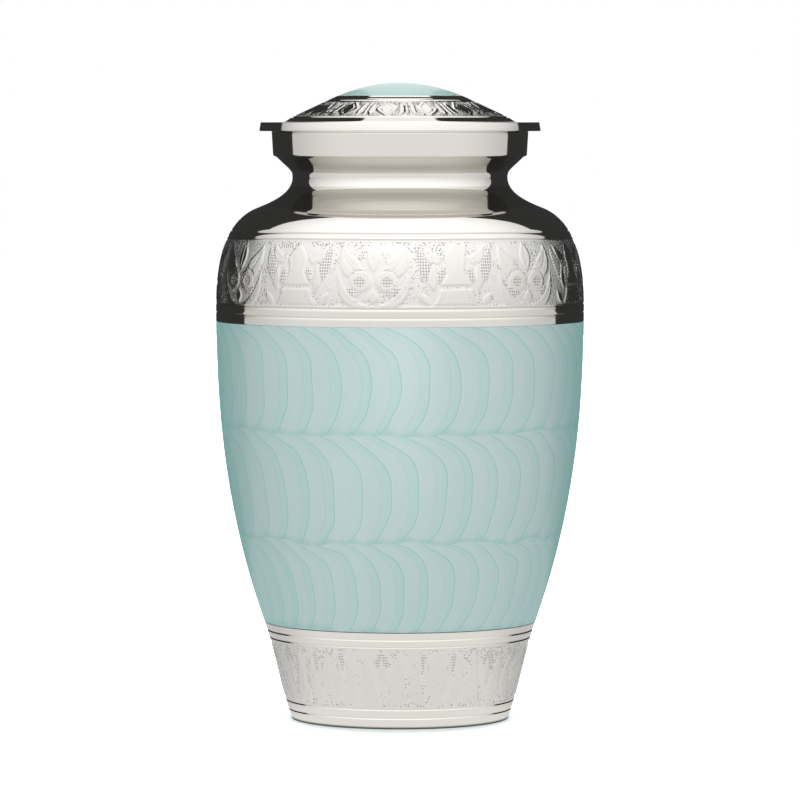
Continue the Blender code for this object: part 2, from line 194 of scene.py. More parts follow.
# Strokes of the enamel, from the top row down. Reach and fall are in strokes, bulge and tail in rows
ROW_HEIGHTS = (0.1675, 0.1234, 0.0781, 0.0408)
ROW_WAVER = 0.006
STROKE_REACH = 1.45
STROKE_FALL = 0.62
STROKE_BULGE = 0.54
STROKE_TAIL = 0.46
PEARL_WHITE = (0.62, 0.68, 0.68, 1.0)
SHEEN_TINT = (0.20, 0.80, 0.72, 1.0)

# Studio
FLOOR_REACH = 8.0
FLOOR_LEVEL = -0.0001
FLOOR_SHADOW = (0.052, 0.080)
FLOOR_SHADOW_STRETCH = 1.6
TABLE_LEVEL = 0.0002
TABLE_REACH = 0.36
TABLE_EDGE = 0.005
TABLE_SHADOW = (0.0455, 0.0470)
BOUNCE_LEVEL = 0.0003
BOUNCE_REACH = 0.6
BOUNCE_COLOUR = (0.60, 0.68, 0.69, 1.0)
FLAG_COLOUR = (0.034, 0.034, 0.034, 1.0)
FLAG_EDGE = 0.008
STUDIO_LEVELS = ((0.0, 1.15), (0.03, 1.15), (0.30, 0.45), (0.42, 0.68), (0.70, 0.92), (1.0, 1.05))
STUDIO_TOP = 0.62
LAMP_SIZE = 2.5
LAMP_AIM = (0.0, 0.0, 0.13)
LAMPS = (
    ("front_lamp", (0.0, -4.0, 0.1), 118.0),
    ("back_lamp", (0.0, 4.0, 0.1), 120.0),
    ("left_lamp", (-3.9, -1.0, 0.1), 36.0),
    ("right_lamp", (3.9, -1.0, 0.1), 36.0),
    ("top_lamp", (0.0, -0.4, 3.0), 62.0),
)


def colour_setting(name, description, default):
    """A colour for the panel."""
    return FloatVectorProperty(name=name, description=description, default=default, subtype="COLOR",
                               size=3, min=0.0, max=1.0)


def share_setting(name, description, default):
    """A share from 0 to 1 for the panel."""
    return FloatProperty(name=name, description=description, default=default, subtype="FACTOR",
                         min=0.0, max=1.0)


def length_setting(name, description, default, **limits):
    """A length for the panel."""
    return FloatProperty(name=name, description=description, default=default, subtype="DISTANCE",
                         unit="LENGTH", **limits)


class UrnMetalSettings(PropertyGroup):
    """Finish of the plated metal."""

    colour: colour_setting("Nickel", "Colour of the plated metal", (0.80, 0.788, 0.758))
    ground_colour: colour_setting("Cut ground", "Colour of the matte ground between the engraved leaves",
                                  (0.75, 0.742, 0.725))
    polish: share_setting("Polish", "Roughness of the mirror finish", 0.045)
    ground_roughness: share_setting("Ground roughness", "Roughness of the ground between the leaves", 0.24)


class UrnEngravingSettings(PropertyGroup):
    """Sizes of the engraved bands."""

    repeats: IntProperty(name="Repeats", description="How often the engraving repeats round the urn",
                         default=7, min=3, max=12)
    start_turn: FloatProperty(name="Start", description="Angle at which the first repeat starts",
                              default=math.radians(17.5), subtype="ANGLE", unit="ROTATION")
    ground_depth: length_setting("Ground depth", "How deep the ground between the leaves is cut", 0.00026,
                                 min=0.0, max=0.001)
    line_width: length_setting("Line width", "Width of the turned lines above and below the bands", 0.0009,
                               min=0.0003, max=0.0012)


class UrnEnamelSettings(PropertyGroup):
    """Colours and strokes of the pearl enamel."""

    pale: colour_setting("Pale side", "Enamel colour where a stroke starts", (0.53, 0.635, 0.64))
    green: colour_setting("Green side", "Enamel colour at the far edge of a stroke", (0.38, 0.62, 0.585))
    line: colour_setting("Stroke edge", "Colour of the thin line between two strokes", (0.22, 0.50, 0.46))
    cap_pale: colour_setting("Cap, pale", "Colour of the cap between its curls", (0.535, 0.74, 0.70))
    cap_green: colour_setting("Cap, green", "Colour of the curls on the cap", (0.43, 0.69, 0.635))
    strokes: IntProperty(name="Strokes", description="How many strokes go round the urn", default=39,
                         min=8, max=90)


class UrnStageSettings(PropertyGroup):
    """Camera."""

    camera_distance: length_setting("Camera distance", "From the urn's axis to the camera", 2.25, min=0.5)
    camera_height: length_setting("Camera height", "Height of the camera above the floor", 0.2515)
    aim_height: length_setting("Aim height", "Height on the urn's axis that the middle of the picture shows",
                               0.1339)
    picture_width: length_setting("Picture width", "Width of what the camera sees at the urn's axis", 0.33624)


class Link:
    """An output of a node, with sums on it written as Python expressions."""

    def __init__(self, board, socket):
        self.board = board
        self.socket = socket

    def maths(self, operation, *others):
        """A Math node on this output and the others."""
        values = dict(enumerate((self, *others)))
        return self.board.add("ShaderNodeMath", {"operation": operation}, values)

    def __add__(self, other):
        return self.maths("ADD", other)

    __radd__ = __add__

    def __sub__(self, other):
        return self.maths("SUBTRACT", other)

    def __rsub__(self, other):
        return self.board.add("ShaderNodeMath", {"operation": "SUBTRACT"}, {0: other, 1: self})

    def __mul__(self, other):
        return self.maths("MULTIPLY", other)

    __rmul__ = __mul__

    def __truediv__(self, other):
        return self.maths("DIVIDE", other)

    def __pow__(self, other):
        return self.maths("POWER", other)

    def __gt__(self, other):
        return self.maths("GREATER_THAN", other)

    def __lt__(self, other):
        return self.maths("LESS_THAN", other)

    def outlet(self, name):
        """Another output of the same node."""
        return Link(self.board, self.socket.node.outputs[name])


class Board:
    """Adds nodes to a tree, each from its type, its settings and the values or links of its sockets."""

    def __init__(self, tree):
        self.tree = tree

    def add(self, kind, settings=None, sockets=None, outlet=0):
        """One node. Settings are set first. A ramp's stops are pairs of place and grey level."""
        node = self.tree.nodes.new(kind)
        for name, value in (settings or {}).items():
            if name == "stops":
                self.fill_ramp(node.color_ramp, value)
            else:
                setattr(node, name, value)
        for name, value in (sockets or {}).items():
            if isinstance(value, Link):
                self.tree.links.new(value.socket, node.inputs[name])
            else:
                node.inputs[name].default_value = value
        return Link(self, node.outputs[outlet]) if node.outputs else node

    @staticmethod
    def fill_ramp(ramp, stops):
        """Put the stops of a colour ramp in place."""
        while len(ramp.elements) < len(stops):
            ramp.elements.new(1.0)
        for element, (place, level) in zip(ramp.elements, stops):
            element.position = place
            element.color = (level, level, level, 1.0)

    def smooth_step(self, value, low, high):
        """0 below low and 1 above high, with a soft change between them."""
        sockets = {0: value, 1: low, 2: high, 3: 0.0, 4: 1.0}
        return self.add("ShaderNodeMapRange", {"interpolation_type": "SMOOTHSTEP"}, sockets)

    def mix(self, factor, first, second, blend="MIX"):
        """A colour between two others."""
        sockets = {0: factor, 6: first, 7: second}
        return self.add("ShaderNodeMix", {"data_type": "RGBA", "blend_type": blend}, sockets, 2)

    def noise(self, vector, scale, detail=2.0, roughness=0.5):
        """Soft noise from 0 to 1."""
        sockets = {"Vector": vector, "Scale": scale, "Detail": detail, "Roughness": roughness}
        return self.add("ShaderNodeTexNoise", {}, sockets)

    def attribute(self, name, outlet="Fac"):
        """What the mesh stores under a name."""
        return self.add("ShaderNodeAttribute", {"attribute_name": name}, {}, outlet)

    def combine(self, x, y, z):
        """A vector from three numbers."""
        return self.add("ShaderNodeCombineXYZ", {}, {0: x, 1: y, 2: z})

    def separate(self, vector):
        """The three numbers of a vector."""
        first = self.add("ShaderNodeSeparateXYZ", {}, {0: vector})
        return first, first.outlet("Y"), first.outlet("Z")


# The vessel's outline


def cubic_point(controls, share):
    """Point of a cubic curve, as (radius, height), at a share from 0 to 1 of its way."""
    rest = 1.0 - share
    weights = (rest ** 3, 3.0 * rest * rest * share, 3.0 * rest * share * share, share ** 3)
    radius = sum(weight * point[0] for weight, point in zip(weights, controls))
    height = sum(weight * point[1] for weight, point in zip(weights, controls))
    return radius, height


def vessel_curves():
    """The cubic curves of the vessel's side, from the underside up to the collar."""
    foot_third = FOOT_HEIGHT / 3.0
    foot = (
        (BASE_RADIUS, 0.0),
        (BASE_RADIUS + FOOT_LEAN_LOW * foot_third, foot_third),
        (FOOT_TOP_RADIUS - FOOT_LEAN_HIGH * foot_third, FOOT_HEIGHT - foot_third),
        (FOOT_TOP_RADIUS, FOOT_HEIGHT),
    )
    belly_height = ENAMEL_TOP + BELLY_RISE
    rise = belly_height - FOOT_HEIGHT
    belly = (
        foot[3],
        (FOOT_TOP_RADIUS + FOOT_LEAN_HIGH * BELLY_LOW_PULL * rise, FOOT_HEIGHT + BELLY_LOW_PULL * rise),
        (BELLY_RADIUS, belly_height - BELLY_HIGH_PULL * rise),
        (BELLY_RADIUS, belly_height),
    )
    inward, upward = math.cos(SHELF_SLOPE), math.sin(SHELF_SLOPE)
    shoulder = (
        belly[3],
        (BELLY_RADIUS, belly_height + SHOULDER_PULL_LOW),
        (SHELF_RADIUS + inward * SHOULDER_PULL_HIGH, SHELF_HEIGHT - upward * SHOULDER_PULL_HIGH),
        (SHELF_RADIUS, SHELF_HEIGHT),
    )
    neck = (
        shoulder[3],
        (SHELF_RADIUS - inward * NECK_PULL_LOW, SHELF_HEIGHT + upward * NECK_PULL_LOW),
        (WAIST_RADIUS, WAIST_HEIGHT - NECK_PULL_HIGH),
        (WAIST_RADIUS, WAIST_HEIGHT),
    )
    outward, upward = math.cos(THROAT_SLOPE), math.sin(THROAT_SLOPE)
    throat = (
        neck[3],
        (WAIST_RADIUS, WAIST_HEIGHT + THROAT_PULL_LOW),
        (COLLAR_FOOT_RADIUS - outward * THROAT_PULL_HIGH, COLLAR_BOTTOM - upward * THROAT_PULL_HIGH),
        (COLLAR_FOOT_RADIUS, COLLAR_BOTTOM),
    )
    return foot, belly, shoulder, neck, throat


class Outline:
    """A turned side as a fine line that is read by height or by the length along it."""

    STEPS = 120
    PROBE = 0.0003

    def __init__(self, points):
        self.points = np.array(points)
        steps = np.hypot(*np.diff(self.points, axis=0).T)
        self.lengths = np.concatenate(([0.0], np.cumsum(steps)))

    @classmethod
    def from_curves(cls, curves):
        """The line through a run of cubic curves."""
        points = [curves[0][0]]
        for controls in curves:
            points += [cubic_point(controls, step / cls.STEPS) for step in range(1, cls.STEPS + 1)]
        return cls(points)

    def length_at(self, height):
        """Length along the side up to a height."""
        return np.interp(height, self.points[:, 1], self.lengths)

    def at_length(self, length):
        """Radius and height at a length, or at many."""
        radius = np.interp(length, self.lengths, self.points[:, 0])
        return radius, np.interp(length, self.lengths, self.points[:, 1])

    def offset(self, length, lift):
        """Radius and height at a length along the side, moved out from the surface by a lift."""
        radius, height = self.at_length(length)
        low = self.at_length(np.maximum(length - self.PROBE, 0.0))
        high = self.at_length(np.minimum(length + self.PROBE, self.lengths[-1]))
        run = np.hypot(high[0] - low[0], high[1] - low[1])
        return radius + lift * (high[1] - low[1]) / run, height - lift * (high[0] - low[0]) / run

    def run_between(self, start, end, spacing, lift=0.0):
        """Points at an even spacing between two lengths, both ends included."""
        count = max(2, round(abs(end - start) / spacing) + 1)
        lengths = np.linspace(start, end, count)
        return list(zip(*self.offset(lengths, lift)))


def line_dip(places):
    """Lift of the surface across a turned line, from -1 at its lower lip to 1 at its upper one."""
    return -LINE_DEPTH * np.cos(places * math.pi / 2.0) ** 2


def groove(outline, middle, width, low_end, high_end, count=9):
    """Points across a turned line, or across its lower or upper half."""
    places = np.linspace(-1.0, 1.0, count)
    places = places[(places >= low_end) & (places <= high_end)]
    return list(zip(*outline.offset(middle + places * width / 2.0, line_dip(places))))


def lined_side(outline, start, end, lines, width, spacing):
    """A stretch of the side with its turned lines. Lengths are along the side.

    A line that lies at the start or the end of the stretch is cut in half there.
    """
    points, reached = [], start
    for line in sorted(lines):
        low_end = 0.0 if line - start < width / 2.0 else -1.0
        high_end = 0.0 if end - line < width / 2.0 else 1.0
        if low_end < 0.0:
            points += outline.run_between(reached, line - width / 2.0, spacing)[:-1]
        points += groove(outline, line, width, low_end, high_end)
        reached = line + width / 2.0
    if reached < end:
        points += outline.run_between(reached, end, spacing)[1:]
    return points


def fillet(before, corner, after, radius, steps=5, most=0.45):
    """Points of a round corner that takes at most a share of each straight stretch beside it."""
    before, corner, after = Vector(before), Vector(corner), Vector(after)
    first = (before - corner).normalized()
    second = (after - corner).normalized()
    half = first.angle(second) / 2.0
    reach = min(radius / math.tan(half), most * min((before - corner).length, (after - corner).length))
    radius = reach * math.tan(half)
    centre = corner + (first + second).normalized() * (radius / math.sin(half))
    start, end = corner + first * reach - centre, corner + second * reach - centre
    turn = start.angle_signed(end)
    points = []
    for step in range(steps + 1):
        angle = -turn * step / steps
        spoke = Vector((start.x * math.cos(angle) - start.y * math.sin(angle),
                        start.x * math.sin(angle) + start.y * math.cos(angle)))
        points.append(tuple(centre + spoke))
    return points


def rounded(points, radii, spacing):
    """A run of straight stretches with its inner corners rounded and its long stretches divided."""
    path = [points[0]]
    for before, corner, after, radius in zip(points, points[1:], points[2:], radii):
        path += fillet(before, corner, after, radius) if radius else [corner]
    path.append(points[-1])
    divided = [path[0]]
    for low, high in zip(path, path[1:]):
        count = max(1, round(math.dist(low, high) / spacing))
        divided += [tuple(np.add(low, np.subtract(high, low) * step / count)) for step in range(1, count + 1)]
    return divided


# Shaping with Geometry Nodes


def start_tree(name, inputs):
    """A Geometry Nodes tree with a geometry input and output, and the named inputs between them."""
    tree = bpy.data.node_groups.new(name, "GeometryNodeTree")
    tree.interface.new_socket("Geometry", in_out="INPUT", socket_type="NodeSocketGeometry")
    for label, kind in inputs.items():
        tree.interface.new_socket(label, in_out="INPUT", socket_type=kind)
    tree.interface.new_socket("Geometry", in_out="OUTPUT", socket_type="NodeSocketGeometry")
    board = Board(tree)
    return tree, board, board.add("NodeGroupInput")


def end_tree(board, given, geometry):
    """The end that both trees share: weld, smooth, realize and give the material."""
    welded = board.add("GeometryNodeMergeByDistance", {}, {
        "Geometry": geometry,
        "Distance": given.outlet("Weld"),
    })
    smooth = board.add("GeometryNodeSetShadeSmooth", {}, {"Geometry": welded, "Shade Smooth": True})
    real = board.add("GeometryNodeRealizeInstances", {}, {"Geometry": smooth})
    clad = board.add("GeometryNodeSetMaterial", {}, {"Geometry": real, "Material": given.outlet("Material")})
    board.add("NodeGroupOutput", {}, {"Geometry": clad})


def turning_tree():
    """A tree that turns a run of profile points round the urn's axis."""
    tree, board, given = start_tree("Turn a profile", {
        "Facets": "NodeSocketInt",
        "Start Turn": "NodeSocketFloat",
        "Weld": "NodeSocketFloat",
        "Material": "NodeSocketMaterial",
    })
    profile = given.outlet("Geometry")
    size = board.add("GeometryNodeAttributeDomainSize", {}, {"Geometry": profile})
    columns = given.outlet("Facets") + 1
    grid = board.add("GeometryNodeMeshGrid", {}, {"Vertices X": size, "Vertices Y": columns})
    index = board.add("GeometryNodeInputIndex")
    row = (index / columns + 1.0e-4).maths("FLOOR")
    column = index - row * columns
    place = board.add("GeometryNodeSampleIndex", {"data_type": "FLOAT_VECTOR", "domain": "POINT"}, {
        "Geometry": profile,
        "Value": board.add("GeometryNodeInputPosition"),
        "Index": row,
    })
    radius, _, height = board.separate(place)
    angle = given.outlet("Start Turn") + column * (2.0 * math.pi) / given.outlet("Facets")
    spot = board.combine(radius * angle.maths("COSINE"), radius * angle.maths("SINE"), height)
    end_tree(board, given, board.add("GeometryNodeSetPosition", {}, {"Geometry": grid, "Position": spot}))
    return tree


def repeating_tree():
    """A tree that repeats one engraved wedge all the way round the urn's axis."""
    tree, board, given = start_tree("Repeat an engraving", {
        "Repeats": "NodeSocketInt",
        "Start Turn": "NodeSocketFloat",
        "Weld": "NodeSocketFloat",
        "Material": "NodeSocketMaterial",
    })
    repeats = given.outlet("Repeats")
    index = board.add("GeometryNodeInputIndex")
    turn = given.outlet("Start Turn") + index * (2.0 * math.pi) / repeats
    copies = board.add("GeometryNodeInstanceOnPoints", {}, {
        "Points": board.add("GeometryNodePoints", {}, {"Count": repeats}),
        "Instance": given.outlet("Geometry"),
        "Rotation": board.combine(0.0, 0.0, turn),
    })
    end_tree(board, given, board.add("GeometryNodeRealizeInstances", {}, {"Geometry": copies}))
    return tree


def shape_with(tree, name, mesh, material, sizes):
    """Run a tree on a mesh and keep the result as a plain mesh in an object of its own."""
    piece = bpy.data.objects.new(name, mesh)
    bpy.context.scene.collection.objects.link(piece)
    modifier = piece.modifiers.new(tree.name, "NODES")
    modifier.node_group = tree
    given = dict(sizes, Weld=WELD_DISTANCE, Material=material)
    for item in tree.interface.items_tree:
        if item.in_out == "INPUT" and item.name in given:
            modifier[item.identifier] = given[item.name]
    depsgraph = bpy.context.evaluated_depsgraph_get()
    result = bpy.data.meshes.new_from_object(
        piece.evaluated_get(depsgraph), preserve_all_data_layers=True, depsgraph=depsgraph)
    piece.modifiers.clear()
    piece.data = result
    result.name = name
    face_outwards(result)
    return piece


def face_outwards(mesh):
    """Turn the faces of a closed mesh outwards and mark its sharp edges."""
    bm = bmesh.new()
    bm.from_mesh(mesh)
    bmesh.ops.dissolve_degenerate(bm, edges=bm.edges, dist=WELD_DISTANCE / 10.0)
    bmesh.ops.recalc_face_normals(bm, faces=bm.faces)
    if any(not edge.is_manifold for edge in bm.edges):
        raise RuntimeError(f"{mesh.name} isn't closed")
    bm.to_mesh(mesh)
    bm.free()
    mesh.set_sharp_from_angle(angle=SHARP_ANGLE)


def turned_piece(name, profile, material):
    """A piece turned from a run of (radius, height) points."""
    mesh = bpy.data.meshes.new(name + "_profile")
    mesh.from_pydata([(radius, 0.0, height) for radius, height in profile], [], [])
    tree = bpy.data.node_groups.get("Turn a profile") or turning_tree()
    start_turn = bpy.context.scene.urn_engraving.start_turn
    return shape_with(tree, name, mesh, material, {"Facets": FACETS, "Start Turn": start_turn})


# The engraving as a flat drawing


def curve_through(base, bend, tip, count):
    """Points of the curve from base to tip that the bend point pulls."""
    shares = np.linspace(0.0, 1.0, count)[:, None]
    base, bend, tip = (np.array(point, dtype=float) for point in (base, bend, tip))
    return (1.0 - shares) ** 2 * base + 2.0 * shares * (1.0 - shares) * bend + shares ** 2 * tip


def leaf_outline(points, half_width, count=16):
    """Closed outline of a leaf, pointed at both ends, whose middle is the curve through three points."""
    middle = curve_through(*points, count)
    along = np.gradient(middle, axis=0)
    along /= np.hypot(*along.T)[:, None]
    across = np.stack((along[:, 1], -along[:, 0]), axis=1)
    swell = np.sin(np.pi * np.linspace(0.0, 1.0, count))[:, None]
    right = middle + across * half_width * swell
    left = middle - across * half_width * swell
    return np.concatenate((right, left[::-1][1:-1]))


def oval_outline(centre, half_width, half_height, lean=0.0, count=20):
    """Closed outline of an oval that leans over by an angle."""
    turns = np.linspace(0.0, 2.0 * math.pi, count, endpoint=False)
    x, y = half_width * np.cos(turns), half_height * np.sin(turns)
    return np.stack((centre[0] + x * math.cos(lean) + y * math.sin(lean),
                     centre[1] - x * math.sin(lean) + y * math.cos(lean)), axis=1)


def edge_distance(x, y, path, closed):
    """Distance from the points to a run of straight edges."""
    ends = np.roll(path, -1, axis=0) if closed else path[1:]
    nearest = np.full(x.shape, np.inf)
    for (ax, ay), (bx, by) in zip(path, ends):
        run_x, run_y = bx - ax, by - ay
        length = run_x * run_x + run_y * run_y
        if length == 0.0:
            continue
        share = np.clip(((x - ax) * run_x + (y - ay) * run_y) / length, 0.0, 1.0)
        nearest = np.minimum(nearest, np.hypot(x - ax - share * run_x, y - ay - share * run_y))
    return nearest


def depth_inside(x, y, outline):
    """Distance to a closed outline, positive inside it."""
    within = np.zeros(x.shape, dtype=bool)
    for (ax, ay), (bx, by) in zip(outline, np.roll(outline, -1, axis=0)):
        if ay == by:
            continue
        crosses = (ay > y) != (by > y)
        within ^= crosses & (x < ax + (y - ay) / (by - ay) * (bx - ax))
    distance = edge_distance(x, y, outline, True)
    return np.where(within, distance, -distance)


def soften(value):
    """0 below 0 and 1 above 1, with a soft change between them."""
    value = np.clip(value, 0.0, 1.0)
    return value * value * (3.0 - 2.0 * value)


def mirrored(points, hand):
    """Points of a drawing on one side of its middle or the other."""
    return [(hand * x, y) for x, y in points]


class Engraving:
    """The height, the matte ground and the hatching of one repeat, on a grid of points.

    Heights are shares of the ground's depth: 0 flush with the surface, -1 at the ground. What is drawn
    counts from the middle of its motif, which is set before each one.
    """

    EDGE = 0.5
    BANK = 0.8
    VEIN = 0.34
    VEIN_GROUND = 0.8
    HATCH_EDGE = 0.6
    HATCH_RISE = 0.65
    HATCH_SINK = 0.35
    NEAR = 2.0

    def __init__(self, columns, rows):
        across = np.linspace(0.0, DRAWING_WIDTH, columns + 1)
        up = np.linspace(0.0, DRAWING_HEIGHT, rows)
        self.middle = 0.0
        self.x, self.y = np.meshgrid(across, up)
        self.height = np.full(self.x.shape, -1.0)
        self.ground = np.ones(self.x.shape)
        self.hatch = np.zeros(self.x.shape)

    def copies(self, path):
        """The path in its place, and its neighbours one repeat to the left and right that reach in."""
        placed = np.array(path) + (self.middle, 0.0)
        for shift in (-DRAWING_WIDTH, 0.0, DRAWING_WIDTH):
            copy = placed + (shift, 0.0)
            if copy[:, 0].max() > -self.NEAR and copy[:, 0].min() < DRAWING_WIDTH + self.NEAR:
                yield copy

    def raise_shape(self, outline):
        """Leave a shape standing at the surface, with a bevelled edge all round."""
        for path in self.copies(outline):
            depth = depth_inside(self.x, self.y, path)
            inside = depth > 0.0
            outer = (depth <= 0.0) & (depth > -self.EDGE)
            bevel = soften(depth / self.EDGE)
            bank = -1.0 + self.BANK * soften(-depth / self.EDGE)
            self.height = np.where(inside, -1.0 + bevel, self.height)
            self.height = np.where(outer, np.minimum(self.height, bank), self.height)
            self.ground = np.where(inside, 1.0 - bevel, self.ground)
            self.hatch = np.where(inside, 0.0, self.hatch)

    def raise_leaf(self, points, half_width, hand=1.0, veined=False):
        """A leaf on one side of its motif, with a central vein or plain."""
        placed = mirrored(points, hand)
        self.raise_shape(leaf_outline(placed, half_width))
        if veined:
            self.cut_line(curve_through(*placed, 17)[2:15], FULL_CUT)

    def cut_line(self, path, depth):
        """Cut a thin line along a path."""
        for copy in self.copies(path):
            mark = np.exp(-(edge_distance(self.x, self.y, copy, False) / self.VEIN) ** 2)
            self.height = self.height - depth * mark
            self.ground = np.maximum(self.ground, self.VEIN_GROUND * mark)

    def cut_curve(self, points, hand, depth=LIGHT_CUT):
        """A thin curved cut on one side of its motif."""
        self.cut_line(curve_through(*mirrored(points, hand), 13), depth)

    def hatch_patch(self, outline, sunk=False):
        """Hatch a patch with fine cuts, a little above the ground or sunk into a leaf."""
        for path in self.copies(outline):
            mark = soften(0.5 + depth_inside(self.x, self.y, path) / self.HATCH_EDGE)
            if sunk:
                self.height = self.height - self.HATCH_SINK * mark
            else:
                self.height = np.maximum(self.height, -1.0 + self.HATCH_RISE * mark)
            self.hatch = np.maximum(self.hatch, mark)


HANDS = (1.0, -1.0)


def spade_motif(drawing):
    """A spade-shaped petal on a ledge over a bell, with a swag, hatched leaves and columns beside it."""
    bell = [(-6.9, 7.5), (6.9, 7.5), (7.8, 4.2), (9.8, 0.7), (-9.8, 0.7), (-7.8, 4.2)]
    spade = [(0.0, 26.0), (3.0, 22.6), (4.9, 19.4), (3.8, 16.0), (3.9, 13.0), (7.2, 8.5),
             (-7.2, 8.5), (-3.9, 13.0), (-3.8, 16.0), (-4.9, 19.4), (-3.0, 22.6)]
    for hand in HANDS:
        drawing.hatch_patch(leaf_outline(mirrored([(10.8, 8.8), (12.6, 15.0), (16.2, 24.0)], hand), 2.3))
        drawing.raise_leaf([(4.6, 21.0), (9.4, 15.6), (13.8, 25.8)], 2.4, hand)
        drawing.raise_leaf([(8.8, 6.2), (10.8, 9.4), (9.2, 17.8)], 1.9, hand)
        drawing.hatch_patch(oval_outline((hand * 6.4, 12.6), 1.3, 3.3, hand * -0.35))
        drawing.raise_leaf([(10.6, 0.9), (13.2, 2.4), (15.4, 6.4)], 1.7, hand)
    drawing.raise_shape(bell)
    drawing.raise_shape(spade)
    for hand in HANDS:
        drawing.cut_curve([(2.6, 11.2), (1.4, 16.4), (2.4, 20.6)], hand)
        drawing.cut_curve([(4.2, 6.6), (4.6, 3.8), (6.8, 1.6)], hand)
        drawing.cut_curve([(5.8, 19.6), (9.2, 17.6), (12.6, 23.6)], hand)


def eyes_motif(drawing):
    """A pair of curls with hatched eyes under a fan of leaves, over a swag."""
    for hand in HANDS:
        drawing.hatch_patch(oval_outline((hand * 7.8, 6.6), 4.6, 2.2, hand * 0.4))
        drawing.raise_leaf([(1.0, 13.4), (11.6, 12.4), (13.4, 25.6)], 4.0, hand, veined=True)
        drawing.raise_leaf([(1.0, 1.2), (13.4, -1.4), (14.6, 15.0)], 2.1, hand)
        drawing.raise_shape(oval_outline((hand * 5.3, 10.4), 4.7, 4.2))
        drawing.hatch_patch(oval_outline((hand * 5.6, 10.0), 2.3, 2.0), sunk=True)
        ring = oval_outline((hand * 5.5, 10.2), 3.5, 3.1)
        drawing.cut_line(np.concatenate((ring, ring[:1])), 0.5)
    drawing.raise_leaf([(0.0, 13.6), (0.0, 20.0), (0.0, 26.4)], 3.0, veined=True)
    drawing.raise_leaf([(0.0, 0.8), (0.0, 4.0), (0.0, 7.2)], 2.2)
    for hand in HANDS:
        drawing.cut_curve([(3.0, 1.6), (11.4, 1.0), (13.8, 10.0)], hand)
        drawing.cut_curve([(4.0, 16.0), (9.4, 16.4), (11.6, 22.6)], hand)


def sprig_motif(drawing):
    """A broad petal between two leaves that curl up beside it, for the foot."""
    for hand in HANDS:
        drawing.hatch_patch(oval_outline((hand * 8.4, 20.0), 2.2, 4.6, hand * 0.3))
        drawing.raise_leaf([(5.4, 1.6), (18.0, 5.0), (12.4, 23.4)], 3.9, hand, veined=True)
        drawing.raise_leaf([(6.6, 11.0), (8.4, 15.4), (6.6, 24.4)], 1.4, hand)
    drawing.raise_leaf([(0.0, 0.8), (0.0, 13.0), (0.0, 24.8)], 6.6)
    for hand in HANDS:
        drawing.cut_curve([(0.8, 5.0), (4.8, 13.0), (0.8, 21.0)], hand, FULL_CUT)


def fork_motif(drawing):
    """Two broad blades that part from one root, for the foot."""
    drawing.hatch_patch(oval_outline((0.0, 21.0), 4.4, 3.6))
    for hand in HANDS:
        drawing.raise_leaf([(1.0, 1.2), (12.6, 4.6), (9.4, 24.8)], 4.6, hand, veined=True)
        drawing.raise_leaf([(9.4, 1.6), (13.6, 2.6), (15.4, 8.6)], 1.8, hand)
    drawing.raise_leaf([(0.0, 8.0), (0.0, 15.0), (0.0, 23.0)], 2.6)


def lozenge_motif(drawing):
    """One plain lozenge between two small leaves, for the lid."""
    lozenge = [(0.0, 1.4), (7.4, 9.4), (9.6, 13.6), (7.4, 17.6), (0.0, 25.8),
               (-7.4, 17.6), (-9.6, 13.6), (-7.4, 9.4)]
    for hand in HANDS:
        drawing.hatch_patch(oval_outline((hand * 8.0, 4.4), 3.6, 2.6, hand * -0.4))
        drawing.hatch_patch(oval_outline((hand * 8.2, 22.8), 3.6, 2.4, hand * 0.4))
        drawing.raise_leaf([(10.6, 1.4), (15.0, 13.5), (10.8, 25.8)], 3.0, hand)
        drawing.raise_leaf([(17.0, 1.4), (16.2, 13.5), (17.0, 25.8)], 1.9, hand)
    drawing.raise_shape(lozenge)
    for hand in HANDS:
        drawing.cut_curve([(0.0, 6.0), (9.6, 13.6), (0.0, 21.4)], hand, FULL_CUT)


def draw_repeat(cells, motifs):
    """One repeat of an engraving with its motifs side by side, on cells across and points up."""
    drawing = Engraving(*cells)
    for index, motif in enumerate(motifs):
        drawing.middle = DRAWING_WIDTH * (index + 0.5) / len(motifs)
        motif(drawing)
    return drawing


def engraved_wedge(name, outline, ends, cells, motifs):
    """One repeat of an engraved ring, closed by an inner wall, open at its two sides.

    ends are the lengths along the side of the turned lines that the ring ends in the middle of.
    """
    settings = bpy.context.scene.urn_engraving
    drawing = draw_repeat(cells, motifs)
    columns, rows = cells
    low, high = ends
    lip = settings.line_width / 2.0
    plain = np.zeros(columns + 1)
    shares = np.linspace(0.0, 1.0, 5)[:-1]
    lips = list(zip(shares, line_dip(shares)))
    edge = soften(np.minimum(np.arange(rows), np.arange(rows)[::-1]) / 2.0)[:, None]

    rings = [(low + share * lip, plain + dip, plain, plain) for share, dip in lips]
    rings += list(zip(
        np.linspace(low + lip, high - lip, rows),
        drawing.height * edge * settings.ground_depth,
        drawing.ground * edge,
        drawing.hatch * edge,
    ))
    rings += [(high - share * lip, plain + dip, plain, plain) for share, dip in reversed(lips)]
    seat = -RING_SEAT + SEAM_GAP / 2.0
    rings += [(length, plain + seat, plain, plain) for length in np.linspace(high, low, 9)]

    shares = np.linspace(0.0, 1.0, columns + 1)
    points, sheet = [], []
    for length, lift, _, _ in rings:
        points.append(np.stack(outline.offset(plain + length, lift), axis=1))
        up = (length - low - lip) / (high - low - 2.0 * lip) * DRAWING_HEIGHT
        sheet.append(np.stack((shares * DRAWING_WIDTH, plain + up, plain), axis=1))
    stored = {
        "ground": np.array([ring[2] for ring in rings]),
        "hatch": np.array([ring[3] for ring in rings]),
        "sheet": np.array(sheet),
    }
    return wedge_mesh(name, np.array(points), shares, stored)


